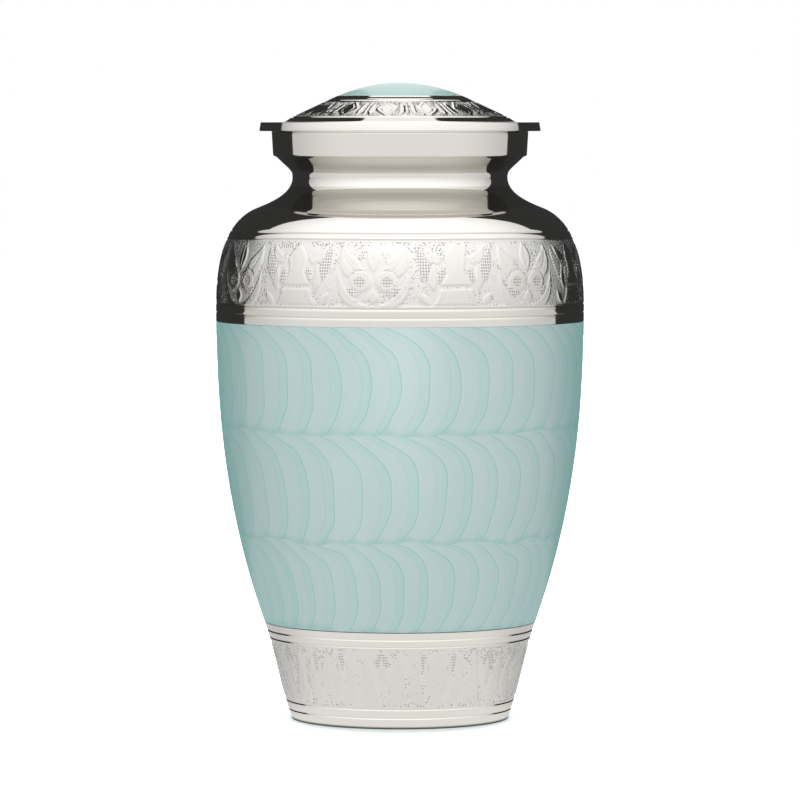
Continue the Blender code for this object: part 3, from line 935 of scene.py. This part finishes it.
def wedge_mesh(name, points, shares, stored):
    """The mesh of a wedge from its rings of (radius, height), with what the finish needs stored on it."""
    angles = shares * 2.0 * math.pi / bpy.context.scene.urn_engraving.repeats
    radius, level = points[..., 0], points[..., 1]
    places = np.stack((radius * np.cos(angles), radius * np.sin(angles), level), axis=-1).reshape(-1, 3)
    index = np.arange(radius.size).reshape(radius.shape)
    after = np.roll(index, -1, axis=0)
    faces = np.stack((index[:, :-1], index[:, 1:], after[:, 1:], after[:, :-1]), axis=-1).reshape(-1, 4)
    mesh = bpy.data.meshes.new(name + "_wedge")
    mesh.from_pydata(places, [], faces)
    for label, values in stored.items():
        kind, field = ("FLOAT_VECTOR", "vector") if values.ndim == 3 else ("FLOAT", "value")
        layer = mesh.attributes.new(label, kind, "POINT")
        layer.data.foreach_set(field, values.reshape(-1).astype(np.float32))
    return mesh


def engraved_ring(name, outline, ends, cells, motifs):
    """A closed engraved ring between two turned lines."""
    settings = bpy.context.scene.urn_engraving
    wedge = engraved_wedge(name, outline, ends, cells, motifs)
    tree = bpy.data.node_groups.get("Repeat an engraving") or repeating_tree()
    return shape_with(tree, name, wedge, material_of(engraved_nickel), {
        "Repeats": settings.repeats,
        "Start Turn": settings.start_turn,
    })


# Finishes


def material_of(finish):
    """The material of a finish, which adds its nodes the first time that it is asked for."""
    material = bpy.data.materials.get(finish.__name__)
    if material is None:
        material = bpy.data.materials.new(finish.__name__)
        material.use_nodes = True
        material.node_tree.nodes.clear()
        finish(Board(material.node_tree))
    return material


def end_finish(board, sockets):
    """The Principled shader and the output."""
    shader = board.add("ShaderNodeBsdfPrincipled", {}, sockets)
    board.add("ShaderNodeOutputMaterial", {}, {"Surface": shader})


def end_glow(board, colour):
    """A shader that gives off light of a colour, and the output."""
    light = board.add("ShaderNodeEmission", {}, {"Color": colour, "Strength": 1.0})
    board.add("ShaderNodeOutputMaterial", {}, {"Surface": light})


def opaque(colour):
    """A colour with its alpha."""
    return (*colour, 1.0)


def object_place(board):
    """Where a point of the surface is on the object."""
    return board.add("ShaderNodeTexCoord", {}, {}, "Object")


def from_axis(x, y):
    """Distance from the urn's axis."""
    return (x * x + y * y).maths("SQRT")


def plate(board, place, shade=1.0):
    """Broad soft clouds, and the plate's colour that they warm a little."""
    silver = np.array(bpy.context.scene.urn_metal.colour) * shade
    clouds = board.noise(place, scale=22.0, detail=3.0)
    return clouds, board.mix(clouds, opaque(silver), opaque(silver * WARM_TINT))


def painted_cap_shadow(x, y, z):
    """Painted shadow: 1 on the ring of the lid round its cap, and 0 elsewhere."""
    away = from_axis(x, y)
    ring = (away > CAP_RADIUS + CAP_SHADOW_START) * (away < CAP_RADIUS + CAP_SHADOW_END)
    return ring * (z > lid_level(FLANGE_THICKNESS) + DOME_RISE / 2.0)


def painted_neck_shade(board, z):
    """Painted shade: 1 in the hollow under the neck's waist, a little less in the one above it, and 0
    elsewhere.
    """
    from_waist = (z - WAIST_HEIGHT).maths("ABSOLUTE")
    hollow = board.smooth_step(from_waist, NECK_BEAD, NECK_BEAD + NECK_FADE)
    hollow = hollow * board.smooth_step(z, SHELF_HEIGHT, SHELF_HEIGHT + NECK_FADE)
    hollow = hollow * (1.0 - board.smooth_step(z, COLLAR_BOTTOM - NECK_FADE, COLLAR_BOTTOM))
    return hollow * (1.0 - (z > WAIST_HEIGHT) * THROAT_SPARED)


def polished_nickel(board):
    """Mirror-polished plate with faint rings from the polishing wheel.

    It has painted shade in the hollows of the neck, above and below its waist, and a dark ring of painted
    shadow round the cap.
    """
    settings = bpy.context.scene.urn_metal
    place = object_place(board)
    x, y, z = board.separate(place)
    clouds, silver = plate(board, place)
    wheel = board.noise(board.combine(x * 2.0, y * 2.0, z * 900.0), scale=1.0, detail=3.0)
    # ring is the painted shadow round the cap: dark in colour, and rougher too
    ring = painted_cap_shadow(x, y, z)
    # Painted shade: the plate's colour is darkened in the neck's hollows
    silver_with_painted_shade = board.mix(painted_neck_shade(board, z), silver, opaque(np.array(settings.colour) * NECK_PAINTED_SHADE))
    scuffs = board.smooth_step(wheel, 0.45, 0.75) * 0.02 + clouds * 0.01
    end_finish(board, {
        "Base Color": board.mix(ring, silver_with_painted_shade, CAP_SHADOW_COLOUR),
        "Metallic": 1.0,
        "Roughness": settings.polish + scuffs + ring * 0.45,
        "Normal": board.add("ShaderNodeBump", {}, {"Strength": 0.02, "Distance": 0.0002, "Height": wheel}),
    })


def graver_marks(board, place, ground, hatch):
    """How dark the graver left a point: fine checks on the hatched patches, dots in crowds on the ground."""
    across, up, _ = board.separate(board.attribute("sheet", "Vector"))
    waver = board.noise(place, scale=150.0) * 2.0
    cuts = ((across + up * CUT_LEAN) * CUT_PITCH + waver).maths("SINE")
    cross_cuts = ((across - up * CUT_LEAN) * CUT_PITCH + waver).maths("SINE")
    checks = board.smooth_step(cuts * cross_cuts, 0.05, 0.45)
    patches = board.noise(place, scale=230.0)
    hatching = checks * hatch * board.smooth_step(patches, 0.28, 0.44)

    from_middle = (up - DRAWING_HEIGHT / 2.0).maths("ABSOLUTE")
    borders = board.smooth_step(from_middle, DRAWING_HEIGHT / 2.0 - 4.0, DRAWING_HEIGHT / 2.0 - 1.0) * 0.12
    crowds = patches + board.noise(place, scale=75.0) + borders
    spots = board.add("ShaderNodeTexVoronoi", {}, {
        "Vector": place,
        "Scale": 1000.0,
        "Randomness": 0.8,
    }, "Distance")
    dots = (1.0 - board.smooth_step(spots, 0.22, 0.42)) * board.smooth_step(crowds, 0.94, 1.14)
    stipple = dots * ground * (1.0 - hatch)
    return (hatching * 0.85).maths("MAXIMUM", stipple * 0.8)


def engraved_nickel(board):
    """Polished leaves on a matte ground that is hatched and dotted by the graver."""
    settings = bpy.context.scene.urn_metal
    place = object_place(board)
    ground = board.attribute("ground")
    hatch = board.attribute("hatch")
    marks = graver_marks(board, place, ground, hatch)
    _, bright = plate(board, place, ENGRAVED_SHADE)
    dull = board.mix(ground, bright, opaque(settings.ground_colour))
    matte = ground.maths("MAXIMUM", hatch * 0.8)
    grain = board.noise(place, scale=1300.0, detail=3.0, roughness=0.65)
    relief = grain * ground * 0.7 - marks
    end_finish(board, {
        "Base Color": board.mix(marks * 0.7, dull, MARK_COLOUR),
        "Metallic": 1.0,
        "Roughness": settings.polish + 0.01 + matte * (settings.ground_roughness - settings.polish),
        "Normal": board.add("ShaderNodeBump", {}, {"Strength": 0.7, "Distance": 0.00025, "Height": relief}),
    })


def enamel_rows(level):
    """How far down its row a height lies, from 0 at the row's top to 1, and the row's number from the top."""
    share = (ROW_HEIGHTS[0] - level) / (ROW_HEIGHTS[0] - ROW_HEIGHTS[1])
    row = 0.0
    for top, bottom in zip(ROW_HEIGHTS[1:], ROW_HEIGHTS[2:]):
        below = level < top
        share = share + ((top - level) / (top - bottom) - share) * below
        row = below + row
    return share.maths("MAXIMUM", 0.0).maths("MINIMUM", 1.0), row


def stroke_bend(share):
    """How far a stroke's edge lies left of its furthest point, in strokes, down a row."""
    upper = (STROKE_BULGE - share).maths("MAXIMUM", 0.0) / STROKE_BULGE
    lower = (share - STROKE_BULGE).maths("MAXIMUM", 0.0) / STROKE_TAIL
    return upper ** 3.2 * STROKE_REACH + lower ** 2.8 * STROKE_FALL


def pearl_enamel_strokes(board):
    """Glossy enamel laid in overlapping crescent strokes."""
    settings = bpy.context.scene.urn_enamel
    place = object_place(board)
    x, y, z = board.separate(place)
    around = x.maths("ARCTAN2", y * -1.0) * (settings.strokes / (2.0 * math.pi))
    drift = board.noise(place, scale=26.0) - 0.5
    level = z + (board.noise(place, scale=55.0, detail=1.0) - 0.5) * ROW_WAVER
    share, row = enamel_rows(level)
    bend = stroke_bend(share)
    along = around + bend + drift * 0.55 + row * 0.37
    across = along.maths("FRACT")
    number = along.maths("FLOOR")
    each = board.noise(board.combine(number * 7.3, row * 3.1, 0.0), scale=1.0, detail=0.0)

    silk = board.noise(board.combine(along * 9.0, row * 5.0, z * 25.0), scale=1.0, detail=4.0, roughness=0.6)
    fine = board.noise(board.combine(along * 30.0, row * 5.0, z * 40.0), scale=1.0)
    clouds = board.noise(place, scale=16.0)
    shade = board.smooth_step(across, 0.35, 1.0) * 0.45 + each * 0.45 + silk * 0.5 + clouds * 0.5 - 0.6
    start = 1.0 - board.smooth_step(across, 0.0, 0.10)
    body = board.mix(shade, opaque(settings.pale), opaque(settings.green))
    body = board.mix(start * 0.25 + fine * 0.10, body, PEARL_WHITE)

    line = 1.0 - board.smooth_step(1.0 - across, 0.0, 0.06 + bend * 0.06)
    from_echo = (across - each * 0.35 - 0.45).maths("ABSOLUTE")
    echo = 1.0 - board.smooth_step(from_echo, 0.0, 0.04 + bend * 0.03)
    cusp = (across - 0.5).maths("ABSOLUTE") * 0.08
    tail = board.smooth_step(share + cusp, 0.95, 1.02) * 0.45
    edges = (line * 0.85).maths("MAXIMUM", echo * each * 0.40).maths("MAXIMUM", tail)
    end_finish(board, {
        "Base Color": board.mix(edges, body, opaque(settings.line)),
        "Roughness": 0.45,
        "IOR": 1.9,
        "Sheen Weight": 0.5,
        "Sheen Roughness": 0.5,
        "Sheen Tint": SHEEN_TINT,
        "Coat Weight": 0.35,
        "Coat Roughness": 0.05,
    })


def pearl_enamel_cap(board):
    """The same enamel on the lid's cap, brushed in faint curls."""
    settings = bpy.context.scene.urn_enamel
    place = object_place(board)
    waver = board.noise(place, scale=60.0, detail=3.0)
    streaks = board.add("ShaderNodeTexWave", {"wave_type": "RINGS", "rings_direction": "Z"}, {
        "Vector": place,
        "Scale": 60.0,
        "Distortion": 6.0,
        "Detail": 2.0,
    }, "Fac")
    shade = streaks * 0.4 + waver * 0.5
    end_finish(board, {
        "Base Color": board.mix(shade, opaque(settings.cap_pale), opaque(settings.cap_green)),
        "Roughness": 0.4,
        "Coat Weight": 0.3,
        "Coat Roughness": 0.05,
    })


# Profiles of the pieces


def side_outline():
    """The vessel's side."""
    return Outline.from_curves(vessel_curves())


def foot_band(outline):
    """Lengths along the side of the turned lines below and above the foot's engraving."""
    return outline.length_at(FOOT_LOW_LINES[1]), outline.length_at(FOOT_HEIGHT - FOOT_HIGH_LINES[0])


def shoulder_band(outline):
    """Lengths along the side of the turned lines below and above the shoulder's engraving."""
    return outline.length_at(ENAMEL_TOP + BELLY_LINES[1]), outline.length_at(SHOULDER_TOP + SHOULDER_LINES[0])


def vessel_profile(outline, width):
    """The vessel from the middle of its underside, up its side, over the rim and down inside."""
    at = outline.length_at
    foot_low, foot_high = foot_band(outline)
    belly_high, shoulder_low = shoulder_band(outline)
    recess = -(ENAMEL_THICKNESS + SEAM_GAP)

    underside = rounded([
        (0.0, BASE_DISH_DEPTH),
        (BASE_DISH_RADIUS - BASE_DISH_DEPTH, BASE_DISH_DEPTH),
        (BASE_DISH_RADIUS, 0.0),
        (BASE_RADIUS - BASE_EDGE, 0.0),
    ], (BASE_DISH_ROUND, BASE_DISH_ROUND / 2.0), HIDDEN_SPACING)
    bend = outline.offset(at(BASE_EDGE), 0.0)
    points = underside[:-1] + fillet(underside[-1], (BASE_RADIUS, 0.0), bend, BASE_EDGE)
    lines = [at(FOOT_LOW_LINES[0]), foot_low]
    points += lined_side(outline, at(BASE_EDGE) + STRETCH_JOIN, foot_low, lines, width, FINE_SPACING)
    points += outline.run_between(foot_low, foot_high, HIDDEN_SPACING, -RING_SEAT)
    lines = [foot_high, at(FOOT_HEIGHT - FOOT_HIGH_LINES[1])]
    points += lined_side(outline, foot_high, at(FOOT_HEIGHT), lines, width, FINE_SPACING)
    points += outline.run_between(at(FOOT_HEIGHT), at(ENAMEL_TOP), HIDDEN_SPACING, recess)
    lines = [at(ENAMEL_TOP + BELLY_LINES[0]), belly_high]
    points += lined_side(outline, at(ENAMEL_TOP), belly_high, lines, width, FINE_SPACING)
    points += outline.run_between(belly_high, shoulder_low, HIDDEN_SPACING, -RING_SEAT)
    lines = [shoulder_low, at(SHOULDER_TOP + SHOULDER_LINES[1])]
    points += lined_side(outline, shoulder_low, at(COLLAR_BOTTOM) - STRETCH_JOIN, lines, width, FINE_SPACING)
    return points + rim_profile(outline) + inner_side(outline)


def rim_profile(outline):
    """The collar and the rim, from the top of the throat to the mouth."""
    throat = tuple(outline.offset(outline.length_at(COLLAR_BOTTOM) - 3.0 * STRETCH_JOIN, 0.0))
    return rounded([
        throat,
        (COLLAR_RADIUS, COLLAR_BOTTOM + COLLAR_STEP),
        (COLLAR_RADIUS + COLLAR_FLARE, RIM_HEIGHT),
        (MOUTH_RADIUS, RIM_HEIGHT),
        (MOUTH_RADIUS, COLLAR_BOTTOM + COLLAR_ROUND),
    ], (COLLAR_FOOT_ROUND, RIM_ROUND, RIM_ROUND), RIM_SPACING)[1:]


def inner_side(outline):
    """The vessel's inside from the mouth down to the middle of its floor."""
    floor = BASE_DISH_DEPTH + WALL
    start, end = outline.length_at(COLLAR_BOTTOM), outline.length_at(floor + WALL)
    wall = outline.run_between(start, end, HIDDEN_SPACING, -WALL)
    return wall + [(wall[-1][0] - WALL, floor), (0.0, floor)]


def lid_level(height):
    """Height above the floor of a height counted from the flange's underside."""
    return FLANGE_HEIGHT + height


def cap_curve(depth, start, end, count):
    """Points of the cap's round top, or of a surface that deep under it, between two radii."""
    ball = (CAP_RADIUS ** 2 + CAP_RISE ** 2) / (2.0 * CAP_RISE)
    centre = lid_level(FLANGE_THICKNESS + DOME_RISE + CAP_RISE) - ball
    return [(radius, centre + math.sqrt((ball - depth) ** 2 - radius ** 2))
            for radius in np.linspace(start, end, count)]


def dome_foot():
    """Where the lid's slope starts, over the flare."""
    return DOME_RADIUS - DOME_FLARE_WIDTH, lid_level(FLANGE_THICKNESS + DOME_FLARE_RISE)


def dome_outline():
    """The lid's slope, from its foot up to the edge of the cap."""
    foot = dome_foot()
    rise = np.subtract((CAP_RADIUS + SEAM_GAP, lid_level(FLANGE_THICKNESS + DOME_RISE)), foot)
    return Outline([tuple(np.add(foot, rise * share)) for share in np.linspace(0.0, 1.0, 41)])


def flange_profile():
    """The skirt, the flange and the flare, from inside the skirt up to the foot of the slope."""
    skirt_inside = SKIRT_RADIUS - SKIRT_WALL
    return rounded([
        (skirt_inside, lid_level(FLANGE_THICKNESS / 2.0)),
        (skirt_inside, lid_level(-SKIRT_DEPTH)),
        (SKIRT_RADIUS, lid_level(-SKIRT_DEPTH)),
        (SKIRT_RADIUS, lid_level(-LID_SEAT)),
        (COLLAR_RADIUS + COLLAR_FLARE, lid_level(-LID_SEAT)),
        (COLLAR_RADIUS + COLLAR_FLARE, lid_level(0.0)),
        (FLANGE_RADIUS, lid_level(0.0)),
        (FLANGE_RADIUS - FLANGE_TAPER, lid_level(FLANGE_THICKNESS)),
        (DOME_RADIUS - DOME_FLARE_WIDTH * DOME_FLARE_START, lid_level(FLANGE_THICKNESS)),
        dome_foot(),
    ], (SKIRT_ROUND, SKIRT_ROUND, 0.0, 0.0, 0.0, FLANGE_ROUND, FLANGE_ROUND, DOME_FLARE_ROUND), FINE_SPACING)


def lid_profile(slope, width):
    """The lid from the middle of its hollow, round the skirt and flange, up to the cap's seat."""
    recess = ENAMEL_THICKNESS + SEAM_GAP
    total = slope.lengths[-1]
    line = total - LID_LINE
    points = cap_curve(recess + LID_WALL, 0.0, CAP_RADIUS, 9)
    points += slope.run_between(total * 0.85, total * 0.15, DOME_SPACING, -LID_WALL)
    points += flange_profile()[:-1]
    points += slope.run_between(0.0, line, DOME_SPACING, -RING_SEAT)
    points += lined_side(slope, line, total, [line], width, DOME_LINE_SPACING)
    return points + cap_curve(recess, CAP_RADIUS + SEAM_GAP, 0.0, 12)


def band_profile(outline):
    """The belly's enamel, up its outside and down its back."""
    low, high = outline.length_at(FOOT_HEIGHT + SEAM_GAP), outline.length_at(ENAMEL_TOP - SEAM_GAP)
    front = outline.run_between(low, high, ENAMEL_SPACING)
    return front + outline.run_between(high, low, ENAMEL_BACK_SPACING, -ENAMEL_THICKNESS) + front[:1]


def cap_profile():
    """The cap's enamel, from its middle out to its edge and back under it."""
    return cap_curve(0.0, 0.0, CAP_RADIUS, 20) + cap_curve(ENAMEL_THICKNESS, CAP_RADIUS, 0.0, 8)


# The studio


def flat_square(name, reach, height, finish):
    """A flat square round the origin, in an object of its own."""
    mesh = bpy.data.meshes.new(name)
    corners = [(x * reach, y * reach, height) for x, y in ((-1, -1), (1, -1), (1, 1), (-1, 1))]
    mesh.from_pydata(corners, [], [(0, 1, 2, 3)])
    return stage_object(name, mesh, finish)


def stage_object(name, mesh, finish):
    """A piece of the studio, in an object of its own."""
    thing = bpy.data.objects.new(name, mesh)
    bpy.context.scene.collection.objects.link(thing)
    mesh.materials.append(material_of(finish))
    return thing


def seen_by(thing, camera=False, glossy=False, diffuse=False):
    """Show a stage object only to the camera, to mirror rays or to rays from matte surfaces."""
    thing.visible_camera = camera
    thing.visible_glossy = glossy
    thing.visible_diffuse = diffuse
    thing.visible_transmission = False


def pale_floor(board):
    """A plain pale floor that is lit evenly, except for the urn's shadow close round it."""
    x, y, _ = board.separate(object_place(board))
    away = (x * x * FLOOR_SHADOW_STRETCH + y * y).maths("SQRT")
    glow = board.mix(board.smooth_step(away, *FLOOR_SHADOW), (0.0, 0.0, 0.0, 1.0), (1.0, 1.0, 0.99, 1.0))
    end_finish(board, {
        "Base Color": (0.92, 0.92, 0.91, 1.0),
        "Roughness": 0.8,
        "Emission Color": glow,
        "Emission Strength": 1.1,
    })


def white_backdrop(board):
    """Even white light."""
    end_glow(board, (1.0, 1.0, 1.0, 1.0))


def floor_bounce(board):
    """The pale light that a floor throws up."""
    end_glow(board, BOUNCE_COLOUR)


def behind_urn(board, x, y, z):
    """1 where a direction points at the dark flags that stand left and right behind the urn."""
    side = x.maths("ABSOLUTE")
    outer = board.smooth_step(y - z * 0.27 - side * 0.42, -FLAG_EDGE, FLAG_EDGE)
    inner = board.smooth_step(side - y * 0.03 - z * 0.19, -FLAG_EDGE, FLAG_EDGE)
    return outer * inner


def mirrored_table(board):
    """The small pale table that the polished metal mirrors, with the dark flags' feet beyond it."""
    x, y, _ = board.separate(object_place(board))
    away = from_axis(x, y)
    front = y / away * -1.0
    near = board.mix(board.smooth_step(front, -0.6, 0.7), (0.62, 0.62, 0.62, 1.0), (0.90, 0.895, 0.88, 1.0))
    near = board.mix(board.smooth_step(away, *TABLE_SHADOW), (0.10, 0.10, 0.10, 1.0), near)
    far = board.mix(behind_urn(board, x / away, y / away, 0.0), near, FLAG_COLOUR)
    end_glow(board, board.mix(
        board.smooth_step(away, TABLE_REACH - TABLE_EDGE, TABLE_REACH + TABLE_EDGE), near, far))


def make_surroundings():
    """The floor and the backdrop that the camera sees, and two cards that only light the urn."""
    seen_by(flat_square("floor", FLOOR_REACH, FLOOR_LEVEL, pale_floor), camera=True)
    mesh = bpy.data.meshes.new("backdrop")
    bm = bmesh.new()
    bmesh.ops.create_icosphere(bm, subdivisions=3, radius=FLOOR_REACH)
    bm.to_mesh(mesh)
    bm.free()
    backdrop = stage_object("backdrop", mesh, white_backdrop)
    seen_by(backdrop, camera=True)
    table = flat_square("table_card", FLOOR_REACH, TABLE_LEVEL, mirrored_table)
    seen_by(table, glossy=True)
    bounce = flat_square("bounce_card", BOUNCE_REACH, BOUNCE_LEVEL, floor_bounce)
    seen_by(bounce, diffuse=True)
    for thing in (backdrop, table, bounce):
        thing.visible_shadow = False


def soft_lamp(name, place, power):
    """A square soft lamp that points at the urn and lights only what isn't a mirror."""
    lamp = bpy.data.lights.new(name, "AREA")
    lamp.size = LAMP_SIZE
    lamp.energy = power
    stand = bpy.data.objects.new(name, lamp)
    stand.location = place
    stand.rotation_euler = (Vector(LAMP_AIM) - stand.location).to_track_quat("-Z", "Y").to_euler()
    stand.visible_camera = False
    stand.visible_glossy = False
    bpy.context.scene.collection.objects.link(stand)


def make_studio(scene):
    """Soft white light that the metal mirrors, with two dark flags behind the urn, and the lamps."""
    world = bpy.data.worlds.new("studio")
    world.use_nodes = True
    world.node_tree.nodes.clear()
    board = Board(world.node_tree)
    x, y, z = board.separate(board.add("ShaderNodeTexCoord", {}, {}, "Generated"))
    level = board.add("ShaderNodeValToRGB", {"stops": STUDIO_LEVELS}, {"Fac": 0.5 - y * 0.5})
    top = z.maths("MAXIMUM", 0.0) * STUDIO_TOP
    lit = board.mix(1.0, level, board.combine(top, top, top), "ADD")
    sky = board.mix(behind_urn(board, x, y, z), lit, FLAG_COLOUR)
    light = board.add("ShaderNodeBackground", {}, {"Color": sky, "Strength": 1.0})
    board.add("ShaderNodeOutputWorld", {}, {"Surface": light})
    scene.world = world
    world.cycles_visibility.diffuse = False
    for name, place, power in LAMPS:
        soft_lamp(name, place, power)
    scene.view_settings.view_transform = "Standard"
    scene.view_settings.look = "None"


def place_camera(scene):
    """A long lens in front of the urn, level with its lid and looking slightly down."""
    settings = scene.urn_stage
    camera = bpy.data.cameras.new("camera")
    spot = Vector((0.0, -settings.camera_distance, settings.camera_height))
    aim = Vector((0.0, 0.0, settings.aim_height)) - spot
    camera.lens = camera.sensor_width * aim.length / settings.picture_width
    viewer = bpy.data.objects.new("camera", camera)
    viewer.location = spot
    viewer.rotation_euler = aim.to_track_quat("-Z", "Y").to_euler()
    scene.collection.objects.link(viewer)
    scene.camera = viewer


# Operators and panel


def finish_piece(piece, *nodes, slot):
    """Attach a piece to the root body and hide the parts of the frame that it takes the place of."""
    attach(piece, "root")
    if nodes:
        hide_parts(*nodes)


class URN_OT_vessel(Operator):
    """Turn the polished vessel from its underside to its rim"""

    bl_idname = "urn.vessel"
    bl_label = "Vessel"

    def execute(self, context):
        profile = vessel_profile(side_outline(), context.scene.urn_engraving.line_width)
        vessel = turned_piece("vessel", profile, material_of(polished_nickel))
        finish_piece(vessel, "urn_body", slot="nickel_plate")
        return {"FINISHED"}


class URN_OT_engraved_bands(Operator):
    """Engrave the leaf bands on the foot, the shoulder and the lid"""

    bl_idname = "urn.engraved_bands"
    bl_label = "Engraved bands"

    def execute(self, context):
        side = side_outline()
        slope = dome_outline()
        lid_band = 0.0, slope.lengths[-1] - LID_LINE
        for name, outline, ends, cells, motifs in (
            ("shoulder_engraving", side, shoulder_band(side), SHOULDER_CELLS, (spade_motif, eyes_motif)),
            ("foot_engraving", side, foot_band(side), FOOT_CELLS, (sprig_motif, fork_motif)),
            ("lid_engraving", slope, lid_band, LID_CELLS, (lozenge_motif, lozenge_motif)),
        ):
            finish_piece(engraved_ring(name, outline, ends, cells, motifs), slot="nickel_plate")
        return {"FINISHED"}


class URN_OT_lid(Operator):
    """Turn the polished lid with its flange and skirt"""

    bl_idname = "urn.lid"
    bl_label = "Lid"

    def execute(self, context):
        profile = lid_profile(dome_outline(), context.scene.urn_engraving.line_width)
        lid = turned_piece("lid_shell", profile, material_of(polished_nickel))
        finish_piece(lid, "lid", slot="nickel_plate")
        return {"FINISHED"}


class URN_OT_enamel(Operator):
    """Lay the pearl enamel on the belly and on the lid"""

    bl_idname = "urn.enamel"
    bl_label = "Enamel"

    def execute(self, context):
        band = turned_piece("enamel_skin", band_profile(side_outline()), material_of(pearl_enamel_strokes))
        finish_piece(band, "enamel_band", slot="pearl_enamel")
        cap = turned_piece("cap_skin", cap_profile(), material_of(pearl_enamel_cap))
        finish_piece(cap, "enamel_cap", slot="pearl_enamel")
        return {"FINISHED"}


class URN_OT_stage(Operator):
    """Set up the floor, the soft studio light and the camera"""

    bl_idname = "urn.stage"
    bl_label = "Stage"

    def execute(self, context):
        make_surroundings()
        make_studio(context.scene)
        place_camera(context.scene)
        return {"FINISHED"}


class URN_PT_panel(Panel):
    """Builds the urn piece by piece"""

    bl_label = "Funeral Urn"
    bl_idname = "URN_PT_panel"
    bl_space_type = "VIEW_3D"
    bl_region_type = "UI"
    bl_category = "Urn"

    def draw(self, context):
        layout = self.layout
        for name in SETTINGS:
            group = getattr(context.scene, name)
            box = layout.box()
            for setting in group.__annotations__:
                box.prop(group, setting)
        for operator in OPERATORS:
            layout.operator(operator.bl_idname)


SETTINGS = {
    "urn_metal": UrnMetalSettings,
    "urn_engraving": UrnEngravingSettings,
    "urn_enamel": UrnEnamelSettings,
    "urn_stage": UrnStageSettings,
}
OPERATORS = (URN_OT_vessel, URN_OT_engraved_bands, URN_OT_lid, URN_OT_enamel, URN_OT_stage)


def register():
    """Register the settings, the operators and the panel."""
    for name, group in SETTINGS.items():
        bpy.utils.register_class(group)
        setattr(bpy.types.Scene, name, PointerProperty(type=group))
    for operator in OPERATORS:
        bpy.utils.register_class(operator)
    bpy.utils.register_class(URN_PT_panel)


def unregister():
    """Take away what register made."""
    bpy.utils.unregister_class(URN_PT_panel)
    for operator in reversed(OPERATORS):
        bpy.utils.unregister_class(operator)
    for name, group in reversed(SETTINGS.items()):
        delattr(bpy.types.Scene, name)
        bpy.utils.unregister_class(group)


def main():
    """Build every piece."""
    register()
    bpy.ops.urn.vessel()
    bpy.ops.urn.engraved_bands()
    bpy.ops.urn.lid()
    bpy.ops.urn.enamel()
    bpy.ops.urn.stage()


if __name__ == "__main__":
    main()
